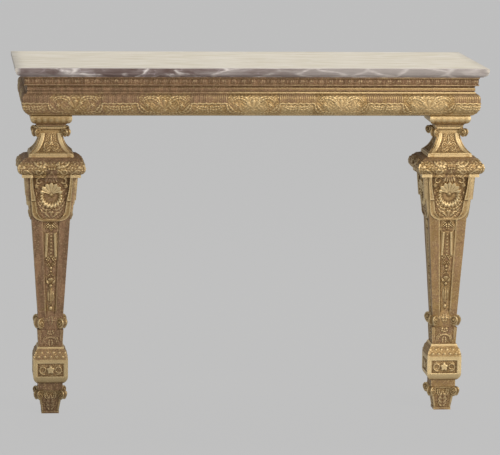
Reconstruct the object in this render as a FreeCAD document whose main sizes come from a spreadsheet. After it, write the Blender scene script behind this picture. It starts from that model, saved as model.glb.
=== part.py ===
import FreeCAD, Part
import math
import os
import Sketcher

# Giltwood pier table with a loose marble top, fixed to a wall by its back rail.
# Frame: +Z up, the front faces -Y, the wall is at +Y. The origin is on the floor,
# midway across the width and the depth. Lengths are in millimetres.

NODE_FOLDER = "parts"
vector = FreeCAD.Vector

doc = FreeCAD.newDocument("pier_table")
sheet = doc.addObject("Spreadsheet::Sheet", "sizes")

SIZES = {
    # marble slab
    "slab_width": 1180, "slab_depth": 450, "slab_thick": 22,
    "slab_band": 9, "slab_step": 1.5, "slab_round": 11,
    # whole table and frame
    "table_height": 880, "frame_inset": 45, "apron_tall": 100, "post_reveal": 6,
    "post_wide": 90, "rail_thick": 28,
    "tenon_thick": 12, "tenon_long": 34, "tenon_shoulder": 12, "mortise_gap": 1,
    "back_tenon_long": 18,
    "peg_wide": 8, "peg_long": 34, "peg_spread": 44, "peg_inset": 15, "back_peg_inset": 9,
    "pin_clearance": 0.1,
    "bearer_wide": 60, "bearer_thick": 25, "bearer_spread": 380, "bearer_seat": 14,
    "block_wide": 40, "block_margin": 10,
    "wall_hole_wide": 7, "wall_hole_spread": 700, "wall_hole_drop": 50,
    # cornice moulding, measured out from the frame's face and down from the slab
    "cornice_out": 24, "cornice_band": 16, "cornice_ovolo_drop": 13,
    "cornice_neck_out": 13, "cornice_neck_tall": 9, "cornice_foot_out": 15.5, "cornice_foot_tall": 4,
    # pulvinated frieze
    "frieze_out": 27.5, "frieze_round": 13, "frieze_belly_tall": 17, "frieze_low_out": 5,
    # capital
    "capital_tall": 39, "capital_wide": 98, "capital_fillet": 4,
    "ovolo_in": 6, "ovolo_drop": 10, "cavetto_in": 7.5, "cavetto_drop": 8,
    "bead_wide": 65, "bead_tall": 9, "bead_out": 3, "band_wide": 55,
    # waisted neck
    "neck_tall": 58, "neck_top_wide": 60, "neck_flare_wide": 110, "neck_flare_rise": 9,
    "neck_fillet_out": 1, "neck_fillet_tall": 5, "neck_strap": 9, "neck_sink": 2.5,
    # swelling shoulder
    "shoulder_tall": 49, "shoulder_wide": 168, "shoulder_slope_in": 3.5, "shoulder_slope_drop": 14,
    "shoulder_swell_drop": 24, "shoulder_low_in": 10, "shoulder_low_rise": 8,
    "shoulder_fillet_in": 12,
    # tapering shaft with a sunk panel on each face
    "shaft_top_wide": 109, "shaft_low_wide": 58, "panel_sink": 4, "panel_top_wide": 43,
    "panel_low_wide": 25, "panel_top_gap": 96, "panel_low_gap": 40,
    # strapwork shields round the top of the shaft
    "shield_top_out": 12, "shield_low_out": 9, "shield_tall": 112, "shield_side_tall": 58,
    "shield_top_wide": 106, "shield_side_wide": 98, "shield_toe_wide": 26, "shield_strap": 10,
    "shield_sink": 6, "shield_sweep": 75,
    # scallop shell on each shield
    "shell_drop": 42, "shell_wide": 54, "shell_tall": 66, "shell_rise": 13, "shell_ribs": 15,
    "flute_share": 0.86, "dome_share": 0.8, "dome_rise": 0.6, "hinge_share": 0.26, "hinge_lift": 11,
    "boss_wide": 9, "boss_rise": 3, "boss_sides": 8,
    # pendant of husks in each sunk panel: widths across, and how far each stands off the panel.
    # Its lengths are parts of a whole that fills the panel between the gap above and below.
    "pendant_drop": 36, "pendant_low_gap": 17, "stem_wide": 6, "stem_rise": 3,
    "bell_long": 70, "bell_wide": 33, "bell_rise": 9, "bell_gap": 15,
    "knot_long": 22, "knot_wide": 22, "knot_rise": 8, "knot_gap": 15,
    "bud_long": 19, "bud_wide": 20, "bud_rise": 7, "bud_gap": 10,
    "husk_long": 40, "husk_wide": 17, "husk_rise": 6, "husk_widest": 0.35, "bell_lip": 3,
    # plinth under the shaft
    "plinth_tall": 154, "plinth_top_wide": 65, "plinth_waist_wide": 60, "plinth_waist_drop": 46,
    "plinth_wide": 87, "plinth_cap_drop": 28, "plinth_block_tall": 43, "plinth_toe_drop": 19,
    "plinth_toe_wide": 66, "plinth_fillet_wide": 62,
    "tablet_wide": 67, "tablet_tall": 31, "tablet_rise": 36, "tablet_sink": 3,
    # foot
    "foot_tall": 62, "foot_top_wide": 58, "foot_waist_wide": 55, "foot_waist_drop": 21,
    "foot_low_wide": 42, "foot_base_wide": 44, "foot_base_tall": 5,
    # corner scrolls: width over a pair, height, thickness, roll, and place
    "eye_wide": 8, "eye_rise": 1.5, "eye_sides": 8, "roll_sides": 16, "scroll_root": 24,
    "neck_scroll_span": 98, "neck_scroll_tall": 22, "neck_scroll_thick": 13, "neck_scroll_roll": 14,
    "neck_scroll_drop": 26,
    "collar_scroll_span": 86, "collar_scroll_tall": 30, "collar_scroll_thick": 17,
    "collar_scroll_roll": 24, "collar_scroll_rise": 1,
    "foot_scroll_span": 85, "foot_scroll_tall": 28, "foot_scroll_thick": 14, "foot_scroll_roll": 18,
    "foot_scroll_drop": 28,
    # square loose tenons on each leg's axis
    "long_pin_wide": 26, "long_pin_in_post": 40, "long_pin_in_shaft": 40,
    "mid_pin_wide": 20, "mid_pin_long": 70, "low_pin_wide": 16, "low_pin_long": 50,
}


class Size:
    """A length: its number now, and the expression that ties it to the sheet."""

    def __init__(self, number, text):
        self.number = float(number)
        self.text = text

    def __add__(self, other):
        other = as_size(other)
        return Size(self.number + other.number, f"({self.text} + {other.text})")

    def __sub__(self, other):
        other = as_size(other)
        return Size(self.number - other.number, f"({self.text} - {other.text})")

    def __mul__(self, other):
        other = as_size(other)
        return Size(self.number * other.number, f"({self.text} * {other.text})")

    def __truediv__(self, other):
        other = as_size(other)
        return Size(self.number / other.number, f"({self.text} / {other.text})")

    def __neg__(self):
        return Size(-self.number, f"(0 - {self.text})")

    def __radd__(self, other):
        return as_size(other) + self

    def __rsub__(self, other):
        return as_size(other) - self


def as_size(value):
    """A plain number becomes a Size with itself as its text."""
    if isinstance(value, Size):
        return value
    return Size(value, repr(float(value)))


def fill_sheet():
    """Writes every driving dimension into the sheet, one row each, with its alias."""
    for row, (name, number) in enumerate(SIZES.items(), 1):
        sheet.set(f"A{row}", name)
        sheet.set(f"B{row}", str(number))
        sheet.setAlias(f"B{row}", name)
    doc.recompute()


def size(name):
    """The driving dimension of that name."""
    return Size(SIZES[name], f"sizes.{name}")


def cell(name):
    """The number in the sheet's cell of that name."""
    return float(sheet.get(name))


def bind(target, **sizes):
    """Ties properties of an object to sizes: Length=..., Width=... and so on."""
    for prop, value in sizes.items():
        target.setExpression(prop, as_size(value).text)


def move(target, x=0, y=0, z=0):
    """Ties an object's place to sizes."""
    for axis, value in (("x", x), ("y", y), ("z", z)):
        target.setExpression(f"Placement.Base.{axis}", as_size(value).text)


# ---------------------------------------------------------------- sketches

# An outline is a list of corners, clockwise: (x, y), or (x, y, radius, turn) where an arc
# leads to that corner. Turn is BULGE for an arc that swells outwards and HOLLOW for a cove.
BULGE = 1
HOLLOW = -1

SKETCH_TURN = {
    "XY_Plane": FreeCAD.Rotation(),
    "XZ_Plane": FreeCAD.Rotation(vector(1, 0, 0), 90),
    "YZ_Plane": FreeCAD.Rotation(vector(1, 1, 1), 120),
}


def swell(across, along):
    """Radius of the arc that starts square to 'across' and ends that far across and along."""
    return (across * across + along * along) / (across * 2)


def arc_between(start, end, radius, turn):
    """The short arc of that radius from start to end, on the side that turn says."""
    chord = end - start
    half = chord.Length / 2
    rise = math.sqrt(max(radius * radius - half * half, 0.0))
    side = vector(chord.y, -chord.x, 0)
    side.normalize()
    centre = (start + end) * 0.5 + side * (rise * turn)
    first, last = (end, start) if turn == BULGE else (start, end)
    circle = Part.Circle(centre, vector(0, 0, 1), radius)
    first_angle = math.atan2(first.y - centre.y, first.x - centre.x)
    last_angle = math.atan2(last.y - centre.y, last.x - centre.x)
    return Part.ArcOfCircle(circle, first_angle, last_angle)


def draw(sketch, outline):
    """Draws a closed outline in a sketch. Each corner and radius is a constraint of its own."""
    corners = [[as_size(value) for value in corner[:3]] + list(corner[3:]) for corner in outline]
    points = [vector(corner[0].number, corner[1].number, 0) for corner in corners]
    start_index = len(sketch.Geometry)
    ends = []
    for index, start in enumerate(points):
        following = (index + 1) % len(points)
        corner = corners[following]
        if len(corner) == 2:
            sketch.addGeometry(Part.LineSegment(start, points[following]), False)
            ends.append((1, 2))
        else:
            sketch.addGeometry(arc_between(start, points[following], corner[2].number, corner[3]), False)
            ends.append((2, 1) if corner[3] == BULGE else (1, 2))
    for index, corner in enumerate(corners):
        edge = start_index + index
        before = (index - 1) % len(corners)
        joint = Sketcher.Constraint(
            "Coincident", start_index + before, ends[before][1], edge, ends[index][0])
        sketch.addConstraint(joint)
        for kind, value in (("DistanceX", corner[0]), ("DistanceY", corner[1])):
            place = Sketcher.Constraint(kind, -1, 1, edge, ends[index][0], value.number)
            tie(sketch, place, f"{kind}{edge}", value)
        if len(corner) > 2:
            bend = Sketcher.Constraint("Radius", start_index + before, corner[2].number)
            tie(sketch, bend, f"Radius{edge}", corner[2])


def tie(sketch, constraint, name, value):
    """Adds a named constraint and ties it to its size."""
    index = sketch.addConstraint(constraint)
    sketch.renameConstraint(index, name)
    sketch.setExpression(f"Constraints.{name}", value.text)


def both_sides(half_outline):
    """A whole outline from its right half, listed from the top down: (half width, height, ...)."""
    left = []
    carried = ()
    for corner in reversed(half_outline):
        left.append((-as_size(corner[0]), corner[1]) + carried)
        carried = corner[2:]
    return list(half_outline) + left


def free_sketch(name, plane, outline):
    """A sketch that lies in one of the planes through the origin."""
    sketch = doc.addObject("Sketcher::SketchObject", name)
    sketch.Placement.Rotation = SKETCH_TURN[plane]
    draw(sketch, outline)
    return sketch


def prism(name, plane, outline, length):
    """An outline drawn out both ways, half the length to each side of its plane."""
    solid = doc.addObject("Part::Extrusion", name)
    solid.Base = free_sketch(f"{name}_outline", plane, outline)
    solid.DirMode = "Normal"
    solid.Solid = True
    solid.Symmetric = True
    bind(solid, LengthFwd=length)
    return solid


# ---------------------------------------------------------------- solids

def box(name, low, high):
    """A block between two corners."""
    block = doc.addObject("Part::Box", name)
    sizes = [as_size(high[i]) - as_size(low[i]) for i in range(3)]
    bind(block, Length=sizes[0], Width=sizes[1], Height=sizes[2])
    move(block, *low)
    return block


def rod(name, start, length, width, axis="Z"):
    """A round rod from its start, along +X, +Y or +Z."""
    round_rod = doc.addObject("Part::Cylinder", name)
    bind(round_rod, Radius=as_size(width) / 2, Height=length)
    turns = {"X": (vector(0, 1, 0), 90), "Y": (vector(1, 0, 0), -90), "Z": (vector(0, 0, 1), 0)}
    round_rod.Placement.Rotation = FreeCAD.Rotation(*turns[axis])
    move(round_rod, *start)
    return round_rod


def cut(name, base, tools):
    """The base less the tools."""
    result = doc.addObject("Part::Cut", name)
    result.Base = base
    result.Tool = tools[0] if len(tools) == 1 else group(f"{name}_tools", tools)
    return result


def group(name, solids):
    """Separate solids kept as one node, or as one cutting tool."""
    result = doc.addObject("Part::Compound", name)
    result.Links = solids
    return result


def common(name, solids):
    """What all the solids share."""
    result = doc.addObject("Part::MultiCommon", name)
    result.Shapes = solids
    return result


def fuse(name, solids):
    """The solids joined into one."""
    result = doc.addObject("Part::MultiFuse", name)
    result.Shapes = solids
    result.Refine = True
    return result


def mirror(name, source, normal):
    """The mirror image of a solid in a plane through the origin."""
    result = doc.addObject("Part::Mirroring", name)
    result.Source = source
    result.Normal = vector(*normal)
    return result


def square_turned(name, half_outline, span):
    """A moulding of square plan: the same outline seen from the front and from the side,
    so that its corners are true mitres."""
    outline = both_sides(half_outline)
    front = prism(f"{name}_front", "XZ_Plane", outline, span)
    side = prism(f"{name}_side", "YZ_Plane", outline, span)
    return common(name, [front, side])


def sunk_on_four_faces(name, base, window, floor, span):
    """Sinks a panel into each face of a square leg piece: window is the panel's outline on
    the face, and floor the outline of what stays inside."""
    tools = []
    for direction, plane, across in (("x", "XZ_Plane", "YZ_Plane"), ("y", "YZ_Plane", "XZ_Plane")):
        opening = prism(f"{name}_{direction}_window", plane, both_sides(window), span)
        core = prism(f"{name}_{direction}_floor", across, both_sides(floor), span)
        tools.append(cut(f"{name}_{direction}_panels", opening, [core]))
    return cut(name, base, tools)


def four_faces(name, front):
    """A piece on the front face of a leg, repeated on its back and on its two sides."""
    back = mirror(f"{name}_back", front, (0, 1, 0))
    side = mirror(f"{name}_side", front, (1, -1, 0))
    other_side = mirror(f"{name}_other_side", side, (1, 0, 0))
    return group(name, [front, back, side, other_side])


# ---------------------------------------------------------------- levels and places

fill_sheet()

half_slab = size("slab_width") / 2
half_depth = size("slab_depth") / 2
top = size("table_height") - size("slab_thick")
frame_side = half_slab - size("frame_inset")
frame_front = size("frame_inset") - half_depth
wall = half_depth
apron_low = top - size("apron_tall")
leg_top = apron_low - size("post_reveal")
leg_x = frame_side - size("post_wide") / 2
leg_y = frame_front + size("post_wide") / 2
post_inner = frame_side - size("post_wide")
post_back = frame_front + size("post_wide")

capital_low = leg_top - size("capital_tall")
neck_low = capital_low - size("neck_tall")
shoulder_low = neck_low - size("shoulder_tall")
shaft_low = size("foot_tall") + size("plinth_tall")
plinth_low = size("foot_tall")
shaft_tall = shoulder_low - shaft_low
leg_span = size("shoulder_wide") * 2

rail_back = frame_front + size("rail_thick")
back_rail_front = wall - size("rail_thick")
side_rail_inner = frame_side - size("rail_thick")
tenon_inset = (size("rail_thick") - size("tenon_thick")) / 2
tenon_low = apron_low + size("tenon_shoulder")
tenon_high = top - size("tenon_shoulder")
rail_middle = (apron_low + top) / 2
peg_levels = (rail_middle - size("peg_spread") / 2, rail_middle + size("peg_spread") / 2)
bearer_low = top - size("bearer_thick")


# ---------------------------------------------------------------- marble slab

def make_marble_top():
    """Loose slab. The front and both ends have a band, a small step and an ovolo; the back
    edge is plain against the wall."""
    z_high = size("table_height")
    band_low = z_high - size("slab_band")
    round_low = band_low - size("slab_round")

    def edge(reach):
        inner = reach - size("slab_step")
        return [
            (reach, z_high), (reach, band_low), (inner, band_low),
            (inner - size("slab_round"), round_low, size("slab_round"), BULGE),
            (inner - size("slab_round"), top)]

    across = prism("slab_across", "XZ_Plane", both_sides(edge(half_slab)), size("slab_depth"))
    front_edge = [tuple([-as_size(corner[0])] + list(corner[1:2])) for corner in edge(half_depth)]
    arc = (size("slab_round"), BULGE)
    outline = [
        (wall, z_high), (wall, top), front_edge[4], front_edge[3],
        front_edge[2] + arc, front_edge[1], front_edge[0]]
    along = prism("slab_along", "YZ_Plane", outline, size("slab_width"))
    return common("marble_top", [across, along])


# ---------------------------------------------------------------- frame

def peg_places():
    """Start and axis of each peg: through the front, side and back rails' tenons."""
    places = []
    for level in peg_levels:
        for side in (-1, 1):
            front_x = (post_inner + size("peg_inset")) * side
            places.append(((front_x, frame_front, level), "Y"))
            side_x = -frame_side if side < 0 else frame_side - size("peg_long")
            places.append(((side_x, post_back - size("peg_inset"), level), "X"))
            back_x = (side_rail_inner + size("back_peg_inset")) * side
            places.append(((back_x, wall - size("peg_long"), level), "Y"))
    return places


def peg(name, start, axis, width):
    """A square peg from the middle of its end, along +X or +Y."""
    half = width / 2
    low = [as_size(start[0]), as_size(start[1]), as_size(start[2]) - half]
    high = [low[0], low[1], low[2] + width]
    along = 0 if axis == "X" else 1
    across = 1 - along
    high[along] = high[along] + size("peg_long")
    low[across] = low[across] - half
    high[across] = high[across] + half
    return box(name, low, high)


def peg_holes(name, wanted):
    """The peg holes that the wanted test picks, wider than the pegs by the clearance all round."""
    width = size("peg_wide") + size("pin_clearance") * 2
    chosen = [place for place in peg_places() if wanted(*place)]
    return [
        peg(f"{name}_hole{index}", start, axis, width) for index, (start, axis) in enumerate(chosen)]


def tenon(name, low_x, high_x, low_y, high_y):
    """A tenon between the shoulders of a rail."""
    return box(name, (low_x, low_y, tenon_low), (high_x, high_y, tenon_high))


def bearer_notches(name, low_y, high_y):
    """The seats of the two bearers in a rail's top edge."""
    notches = []
    for side in (-1, 1):
        middle = size("bearer_spread") / 2 * side
        low = (middle - size("bearer_wide") / 2, low_y, bearer_low)
        high = (middle + size("bearer_wide") / 2, high_y, top)
        notches.append(box(f"{name}_notch{side + 1}", low, high))
    return notches


def make_front_rail():
    """Front rail, tenoned into both corner posts."""
    board = box("front_rail_board", (-post_inner, frame_front, apron_low), (post_inner, rail_back, top))
    low_y = frame_front + tenon_inset
    high_y = low_y + size("tenon_thick")
    reach = post_inner + size("tenon_long")
    tongue = tenon("front_rail_tenons", -reach, reach, low_y, high_y)
    holes = peg_holes("front_rail", lambda start, axis: axis == "Y" and start[1] is frame_front)
    notches = bearer_notches("front_rail", rail_back - size("bearer_seat"), rail_back)
    return cut("front_rail", fuse("front_rail_blank", [board, tongue]), holes + notches)


def make_back_rail():
    """Back rail, tenoned into the side rails, with two screw holes into the wall."""
    board = box(
        "back_rail_board", (-side_rail_inner, back_rail_front, apron_low), (side_rail_inner, wall, top))
    low_y = back_rail_front + tenon_inset
    reach = side_rail_inner + size("back_tenon_long")
    tongue = tenon("back_rail_tenons", -reach, reach, low_y, low_y + size("tenon_thick"))
    holes = peg_holes("back_rail", lambda start, axis: axis == "Y" and start[1] is not frame_front)
    for side in (-1, 1):
        start = (size("wall_hole_spread") / 2 * side, back_rail_front, top - size("wall_hole_drop"))
        holes.append(rod(
            f"wall_hole{side + 1}", start, size("rail_thick"), size("wall_hole_wide"), "Y"))
    notches = bearer_notches("back_rail", back_rail_front, back_rail_front + size("bearer_seat"))
    return cut("back_rail", fuse("back_rail_blank", [board, tongue]), holes + notches)


def make_left_rail():
    """Side rail from the corner post to the wall, mortised for the back rail."""
    board = box("left_rail_board", (-frame_side, post_back, apron_low), (-side_rail_inner, wall, top))
    low_x = tenon_inset - frame_side
    tongue = tenon(
        "left_rail_tenon", low_x, low_x + size("tenon_thick"),
        post_back - size("tenon_long"), post_back)
    low_y = back_rail_front + tenon_inset
    deep = size("back_tenon_long") + size("mortise_gap")
    mortise = tenon(
        "left_rail_mortise", -side_rail_inner - deep, -side_rail_inner,
        low_y, low_y + size("tenon_thick"))
    holes = peg_holes("left_rail", lambda start, axis: start[0].number < 0)
    return cut("left_rail", fuse("left_rail_blank", [board, tongue]), [mortise] + holes)


def make_left_post():
    """Corner post over the left leg: two mortises for the rails and a socket for the pin."""
    block = box("left_post_block", (-frame_side, frame_front, leg_top), (-post_inner, post_back, top))
    deep = size("tenon_long") + size("mortise_gap")
    low_y = frame_front + tenon_inset
    front_mortise = tenon(
        "left_post_front_mortise", -post_inner - deep, -post_inner, low_y, low_y + size("tenon_thick"))
    low_x = tenon_inset - frame_side
    side_mortise = tenon(
        "left_post_side_mortise", low_x, low_x + size("tenon_thick"), post_back - deep, post_back)
    socket = pin_hole(
        "left_post_socket", leg_top, size("long_pin_in_post") + size("mortise_gap"), "long_pin",
        -leg_x, leg_y)
    holes = peg_holes(
        "left_post", lambda start, axis: start[0].number < 0 and start[1].number < 0)
    return cut("left_leg_post", block, [front_mortise, side_mortise, socket] + holes)


def make_pegs():
    """Pegs through every mortise and tenon."""
    pegs = [
        peg(f"peg{index}", start, axis, size("peg_wide"))
        for index, (start, axis) in enumerate(peg_places())]
    return group("joint_pegs", pegs)


def make_left_bearer():
    """Bearer under the slab, let into the tops of the front and back rails."""
    middle = size("bearer_spread") / -2
    low = (middle - size("bearer_wide") / 2, rail_back - size("bearer_seat"), bearer_low)
    high = (middle + size("bearer_wide") / 2, back_rail_front + size("bearer_seat"), top)
    return box("left_bearer", low, high)


def make_left_corner_block():
    """Three-cornered glue block between the side rail and the back rail."""
    corner_x = -side_rail_inner
    wide = size("block_wide")
    outline = [
        (corner_x, back_rail_front), (corner_x + wide, back_rail_front),
        (corner_x, back_rail_front - wide)]
    block = prism("left_corner_block", "XY_Plane", outline, size("apron_tall") - size("block_margin") * 2)
    move(block, z=rail_middle)
    return block


# ---------------------------------------------------------------- mouldings on the frame

def cornice_profile():
    """Carved band, ovolo, neck and small foot: (distance out from the frame, height)."""
    band_low = top - size("cornice_band")
    ovolo_low = band_low - size("cornice_ovolo_drop")
    neck_low_edge = ovolo_low - size("cornice_neck_tall")
    foot_low = neck_low_edge - size("cornice_foot_tall")
    ovolo_in = size("cornice_out") - size("cornice_neck_out")
    return [
        (as_size(0), top), (size("cornice_out"), top), (size("cornice_out"), band_low),
        (size("cornice_neck_out"), ovolo_low, swell(ovolo_in, size("cornice_ovolo_drop")), BULGE),
        (size("cornice_neck_out"), neck_low_edge), (size("cornice_foot_out"), neck_low_edge),
        (size("cornice_foot_out"), foot_low), (as_size(0), foot_low)]


def frieze_profile():
    """Cushion frieze: a quick round at the top, a flat belly and a long round below."""
    high = (top - size("cornice_band") - size("cornice_ovolo_drop")
            - size("cornice_neck_tall") - size("cornice_foot_tall"))
    belly_high = high - size("frieze_round")
    belly_low = belly_high - size("frieze_belly_tall")
    low_in = size("frieze_out") - size("frieze_low_out")
    return [
        (as_size(0), high), (size("frieze_out") - size("frieze_round"), high),
        (size("frieze_out"), belly_high, size("frieze_round"), BULGE),
        (size("frieze_out"), belly_low),
        (size("frieze_low_out"), apron_low, swell(low_in, belly_low - apron_low), BULGE),
        (as_size(0), apron_low)]


def body_sketch(body, name, role, outline):
    """A sketch on one of a body's own origin planes."""
    sketch = body.newObject("Sketcher::SketchObject", name)
    plane = next(item for item in body.Origin.OriginFeatures if item.Role == role)
    sketch.AttachmentSupport = [(plane, "")]
    sketch.MapMode = "FlatFace"
    draw(sketch, outline)
    return sketch


def mitred_run(name, plane, outline, length, offcuts):
    """A length of moulding: the profile padded both ways, and its ends cut to mitres."""
    body = doc.addObject("PartDesign::Body", name)
    pad = body.newObject("PartDesign::Pad", f"{name}_run")
    pad.Profile = body_sketch(body, f"{name}_profile", plane, outline)
    pad.SideType = "Symmetric"
    bind(pad, Length=length)
    for index, offcut in enumerate(offcuts):
        pocket = body.newObject("PartDesign::Pocket", f"{name}_mitre{index}")
        pocket.Profile = body_sketch(body, f"{name}_offcut{index}", "XY_Plane", offcut)
        pocket.Type = "ThroughAll"
        pocket.Reversed = True
    return body


def make_front_run(name, profile):
    """Moulding on the frame's front, mitred at both ends."""
    reach = size("frame_inset")
    outline = reversed_outline([(frame_front - corner[0],) + corner[1:] for corner in profile])
    right = [
        (frame_side, frame_front), (frame_side + reach * 2, frame_front),
        (frame_side + reach * 2, frame_front - reach * 2)]
    left = reversed_outline([(-corner[0], corner[1]) for corner in right])
    return mitred_run(name, "YZ_Plane", outline, (frame_side + reach) * 2, [right, left])


def make_left_run(name, profile):
    """Moulding on the frame's left end, mitred at the front and plain at the wall."""
    reach = size("frame_inset")
    outline = reversed_outline([(-frame_side - corner[0],) + corner[1:] for corner in profile])
    front = [
        (-frame_side, frame_front), (-frame_side, frame_front - reach * 2),
        (-frame_side - reach * 2, frame_front - reach * 2)]
    return mitred_run(name, "XZ_Plane", outline, size("slab_depth"), [front])


def reversed_outline(outline):
    """The same outline walked the other way round, arcs kept on their edges."""
    turned = []
    for index in range(len(outline)):
        corner = outline[-index]
        after = outline[(1 - index) % len(outline)] if index else outline[0]
        arc = after[2:] if index else ()
        turned.append(tuple(corner[:2]) + tuple(arc))
    first_arc = outline[1][2:]
    turned[0] = tuple(outline[0][:2]) + tuple(first_arc)
    return turned


# ---------------------------------------------------------------- leg

def pin(name, low, length, width, x=0, y=0):
    """A square loose tenon that stands on a leg's axis."""
    half = width / 2
    return box(name, (x - half, y - half, low), (x + half, y + half, low + length))


def pin_hole(name, low, length, pin_name, x=0, y=0):
    """The mortise of a loose tenon, wider by the clearance on each side."""
    width = size(f"{pin_name}_wide") + size("pin_clearance") * 2
    return pin(name, low, length, width, x, y)


def make_capital():
    """Capital: abacus fillet, ovolo, cavetto, bead and band."""
    half = size("capital_wide") / 2
    fillet_low = leg_top - size("capital_fillet")
    ovolo_low = fillet_low - size("ovolo_drop")
    cavetto_low = ovolo_low - size("cavetto_drop")
    bead_low = cavetto_low - size("bead_tall")
    ovolo_half = half - size("ovolo_in")
    cavetto_half = ovolo_half - size("cavetto_in")
    bead_half = size("bead_wide") / 2 - size("bead_out")
    outline = [
        (half, leg_top), (half, fillet_low),
        (ovolo_half, ovolo_low, swell(size("ovolo_in"), size("ovolo_drop")), BULGE),
        (cavetto_half, cavetto_low, swell(size("cavetto_in"), size("cavetto_drop")), HOLLOW),
        (bead_half, cavetto_low),
        (bead_half, bead_low, swell(size("bead_out"), size("bead_tall") / 2), BULGE),
        (size("band_wide") / 2, bead_low), (size("band_wide") / 2, capital_low)]
    blank = square_turned("capital_blank", outline, leg_span)
    hole = pin_hole("capital_hole", capital_low, size("capital_tall"), "long_pin")
    return cut("capital", blank, [hole])


def neck_outline(inset):
    """The neck's flare, moved in by an inset: nearly upright at the top, wide below."""
    top_half = size("neck_top_wide") / 2
    flare_half = size("neck_flare_wide") / 2
    flare_low = neck_low + size("neck_flare_rise")
    radius = swell(flare_half - top_half, capital_low - flare_low)
    return [
        (top_half - inset, capital_low),
        (flare_half - inset, flare_low, radius, HOLLOW)]


neck_fillet_half = size("neck_flare_wide") / 2 + size("neck_fillet_out")


def make_neck():
    """Waisted neck: plain straps on the corners, and a hollow panel on each face."""
    fillet_half = neck_fillet_half
    fillet_high = neck_low + size("neck_fillet_tall")
    outline = neck_outline(0) + [
        (size("neck_flare_wide") / 2, fillet_high), (fillet_half, fillet_high), (fillet_half, neck_low)]
    blank = square_turned("neck_blank", outline, leg_span)
    strap = size("neck_strap")
    panelled = sunk_on_four_faces(
        "neck_panelled", blank, neck_outline(strap), neck_outline(size("neck_sink")), leg_span)
    hole = pin_hole("neck_hole", neck_low, size("neck_tall"), "long_pin")
    return cut("neck", panelled, [hole])


def make_shoulder():
    """Shoulder that swells over the shaft."""
    half = size("shoulder_wide") / 2
    slope_half = half - size("shoulder_slope_in")
    slope_z = neck_low - size("shoulder_slope_drop")
    swell_z = neck_low - size("shoulder_swell_drop")
    low_half = half - size("shoulder_low_in")
    fillet_half = half - size("shoulder_fillet_in")
    low_z = shoulder_low + size("shoulder_low_rise")
    outline = [
        (neck_fillet_half, neck_low), (slope_half, slope_z),
        (half, swell_z, swell(half - slope_half, slope_z - swell_z), BULGE),
        (low_half, low_z, swell(half - low_half, swell_z - low_z), BULGE),
        (fillet_half, low_z), (fillet_half, shoulder_low)]
    blank = square_turned("shoulder_blank", outline, leg_span)
    hole = pin_hole("shoulder_hole", shoulder_low, size("shoulder_tall"), "long_pin")
    return cut("shoulder", blank, [hole])


def shaft_half(level):
    """Half the shaft's width at a level."""
    taper = (size("shaft_top_wide") - size("shaft_low_wide")) / (shaft_tall * 2)
    return size("shaft_low_wide") / 2 + (level - shaft_low) * taper


def shaft_band(high, low, out_high=0, out_low=0):
    """The shaft's outline between two levels, moved out or in."""
    return [(shaft_half(high) + out_high, high), (shaft_half(low) + out_low, low)]


panel_high = shoulder_low - size("panel_top_gap")
panel_low = shaft_low + size("panel_low_gap")


def make_shaft():
    """Square tapering shaft with a sunk panel on each face."""
    blank = square_turned("shaft_blank", shaft_band(shoulder_low, shaft_low), leg_span)
    window = [(size("panel_top_wide") / 2, panel_high), (size("panel_low_wide") / 2, panel_low)]
    sink = -size("panel_sink")
    floor = shaft_band(shoulder_low, shaft_low, sink, sink)
    panelled = sunk_on_four_faces("shaft_panelled", blank, window, floor, leg_span)
    deep = size("long_pin_in_shaft") + size("mortise_gap")
    upper = pin_hole("shaft_upper_hole", shoulder_low - deep, deep, "long_pin")
    half_long = size("mid_pin_long") / 2 + size("mortise_gap")
    lower = pin_hole("shaft_lower_hole", shaft_low, half_long, "mid_pin")
    return cut("shaft", panelled, [upper, lower])


def make_plinth():
    """Plinth: tapering waist, domed cap, block with a sunk tablet on each face, and fillet."""
    waist_z = shaft_low - size("plinth_waist_drop")
    waist_half = size("plinth_waist_wide") / 2
    half = size("plinth_wide") / 2
    cap_z = waist_z - size("plinth_cap_drop")
    block_z = cap_z - size("plinth_block_tall")
    toe_half = size("plinth_toe_wide") / 2
    toe_z = block_z - size("plinth_toe_drop")
    fillet_half = size("plinth_fillet_wide") / 2
    outline = [
        (size("plinth_top_wide") / 2, shaft_low), (waist_half, waist_z),
        (half, cap_z, swell(half - waist_half, size("plinth_cap_drop")), BULGE),
        (half, block_z), (toe_half, toe_z, swell(half - toe_half, size("plinth_toe_drop")), BULGE),
        (fillet_half, toe_z), (fillet_half, plinth_low)]
    blank = square_turned("plinth_blank", outline, leg_span)
    tablet_low = plinth_low + size("tablet_rise")
    tablet_high = tablet_low + size("tablet_tall")
    window = [(size("tablet_wide") / 2, tablet_high), (size("tablet_wide") / 2, tablet_low)]
    floor_half = half - size("tablet_sink")
    floor = [(floor_half, shaft_low), (floor_half, plinth_low)]
    panelled = sunk_on_four_faces("plinth_panelled", blank, window, floor, leg_span)
    mid_deep = size("mid_pin_long") / 2 + size("mortise_gap")
    low_deep = size("low_pin_long") / 2 + size("mortise_gap")
    upper = pin_hole("plinth_upper_hole", shaft_low - mid_deep, mid_deep, "mid_pin")
    lower = pin_hole("plinth_lower_hole", plinth_low, low_deep, "low_pin")
    return cut("plinth", panelled, [upper, lower])


def make_foot():
    """Tapering foot on a small base."""
    waist_z = plinth_low - size("foot_waist_drop")
    base_z = size("foot_base_tall")
    outline = [
        (size("foot_top_wide") / 2, plinth_low), (size("foot_waist_wide") / 2, waist_z),
        (size("foot_low_wide") / 2, base_z), (size("foot_base_wide") / 2, base_z),
        (size("foot_base_wide") / 2, as_size(0))]
    blank = square_turned("foot_blank", outline, leg_span)
    deep = size("low_pin_long") / 2 + size("mortise_gap")
    hole = pin_hole("foot_hole", plinth_low - deep, deep, "low_pin")
    return cut("foot", blank, [hole])


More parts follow.
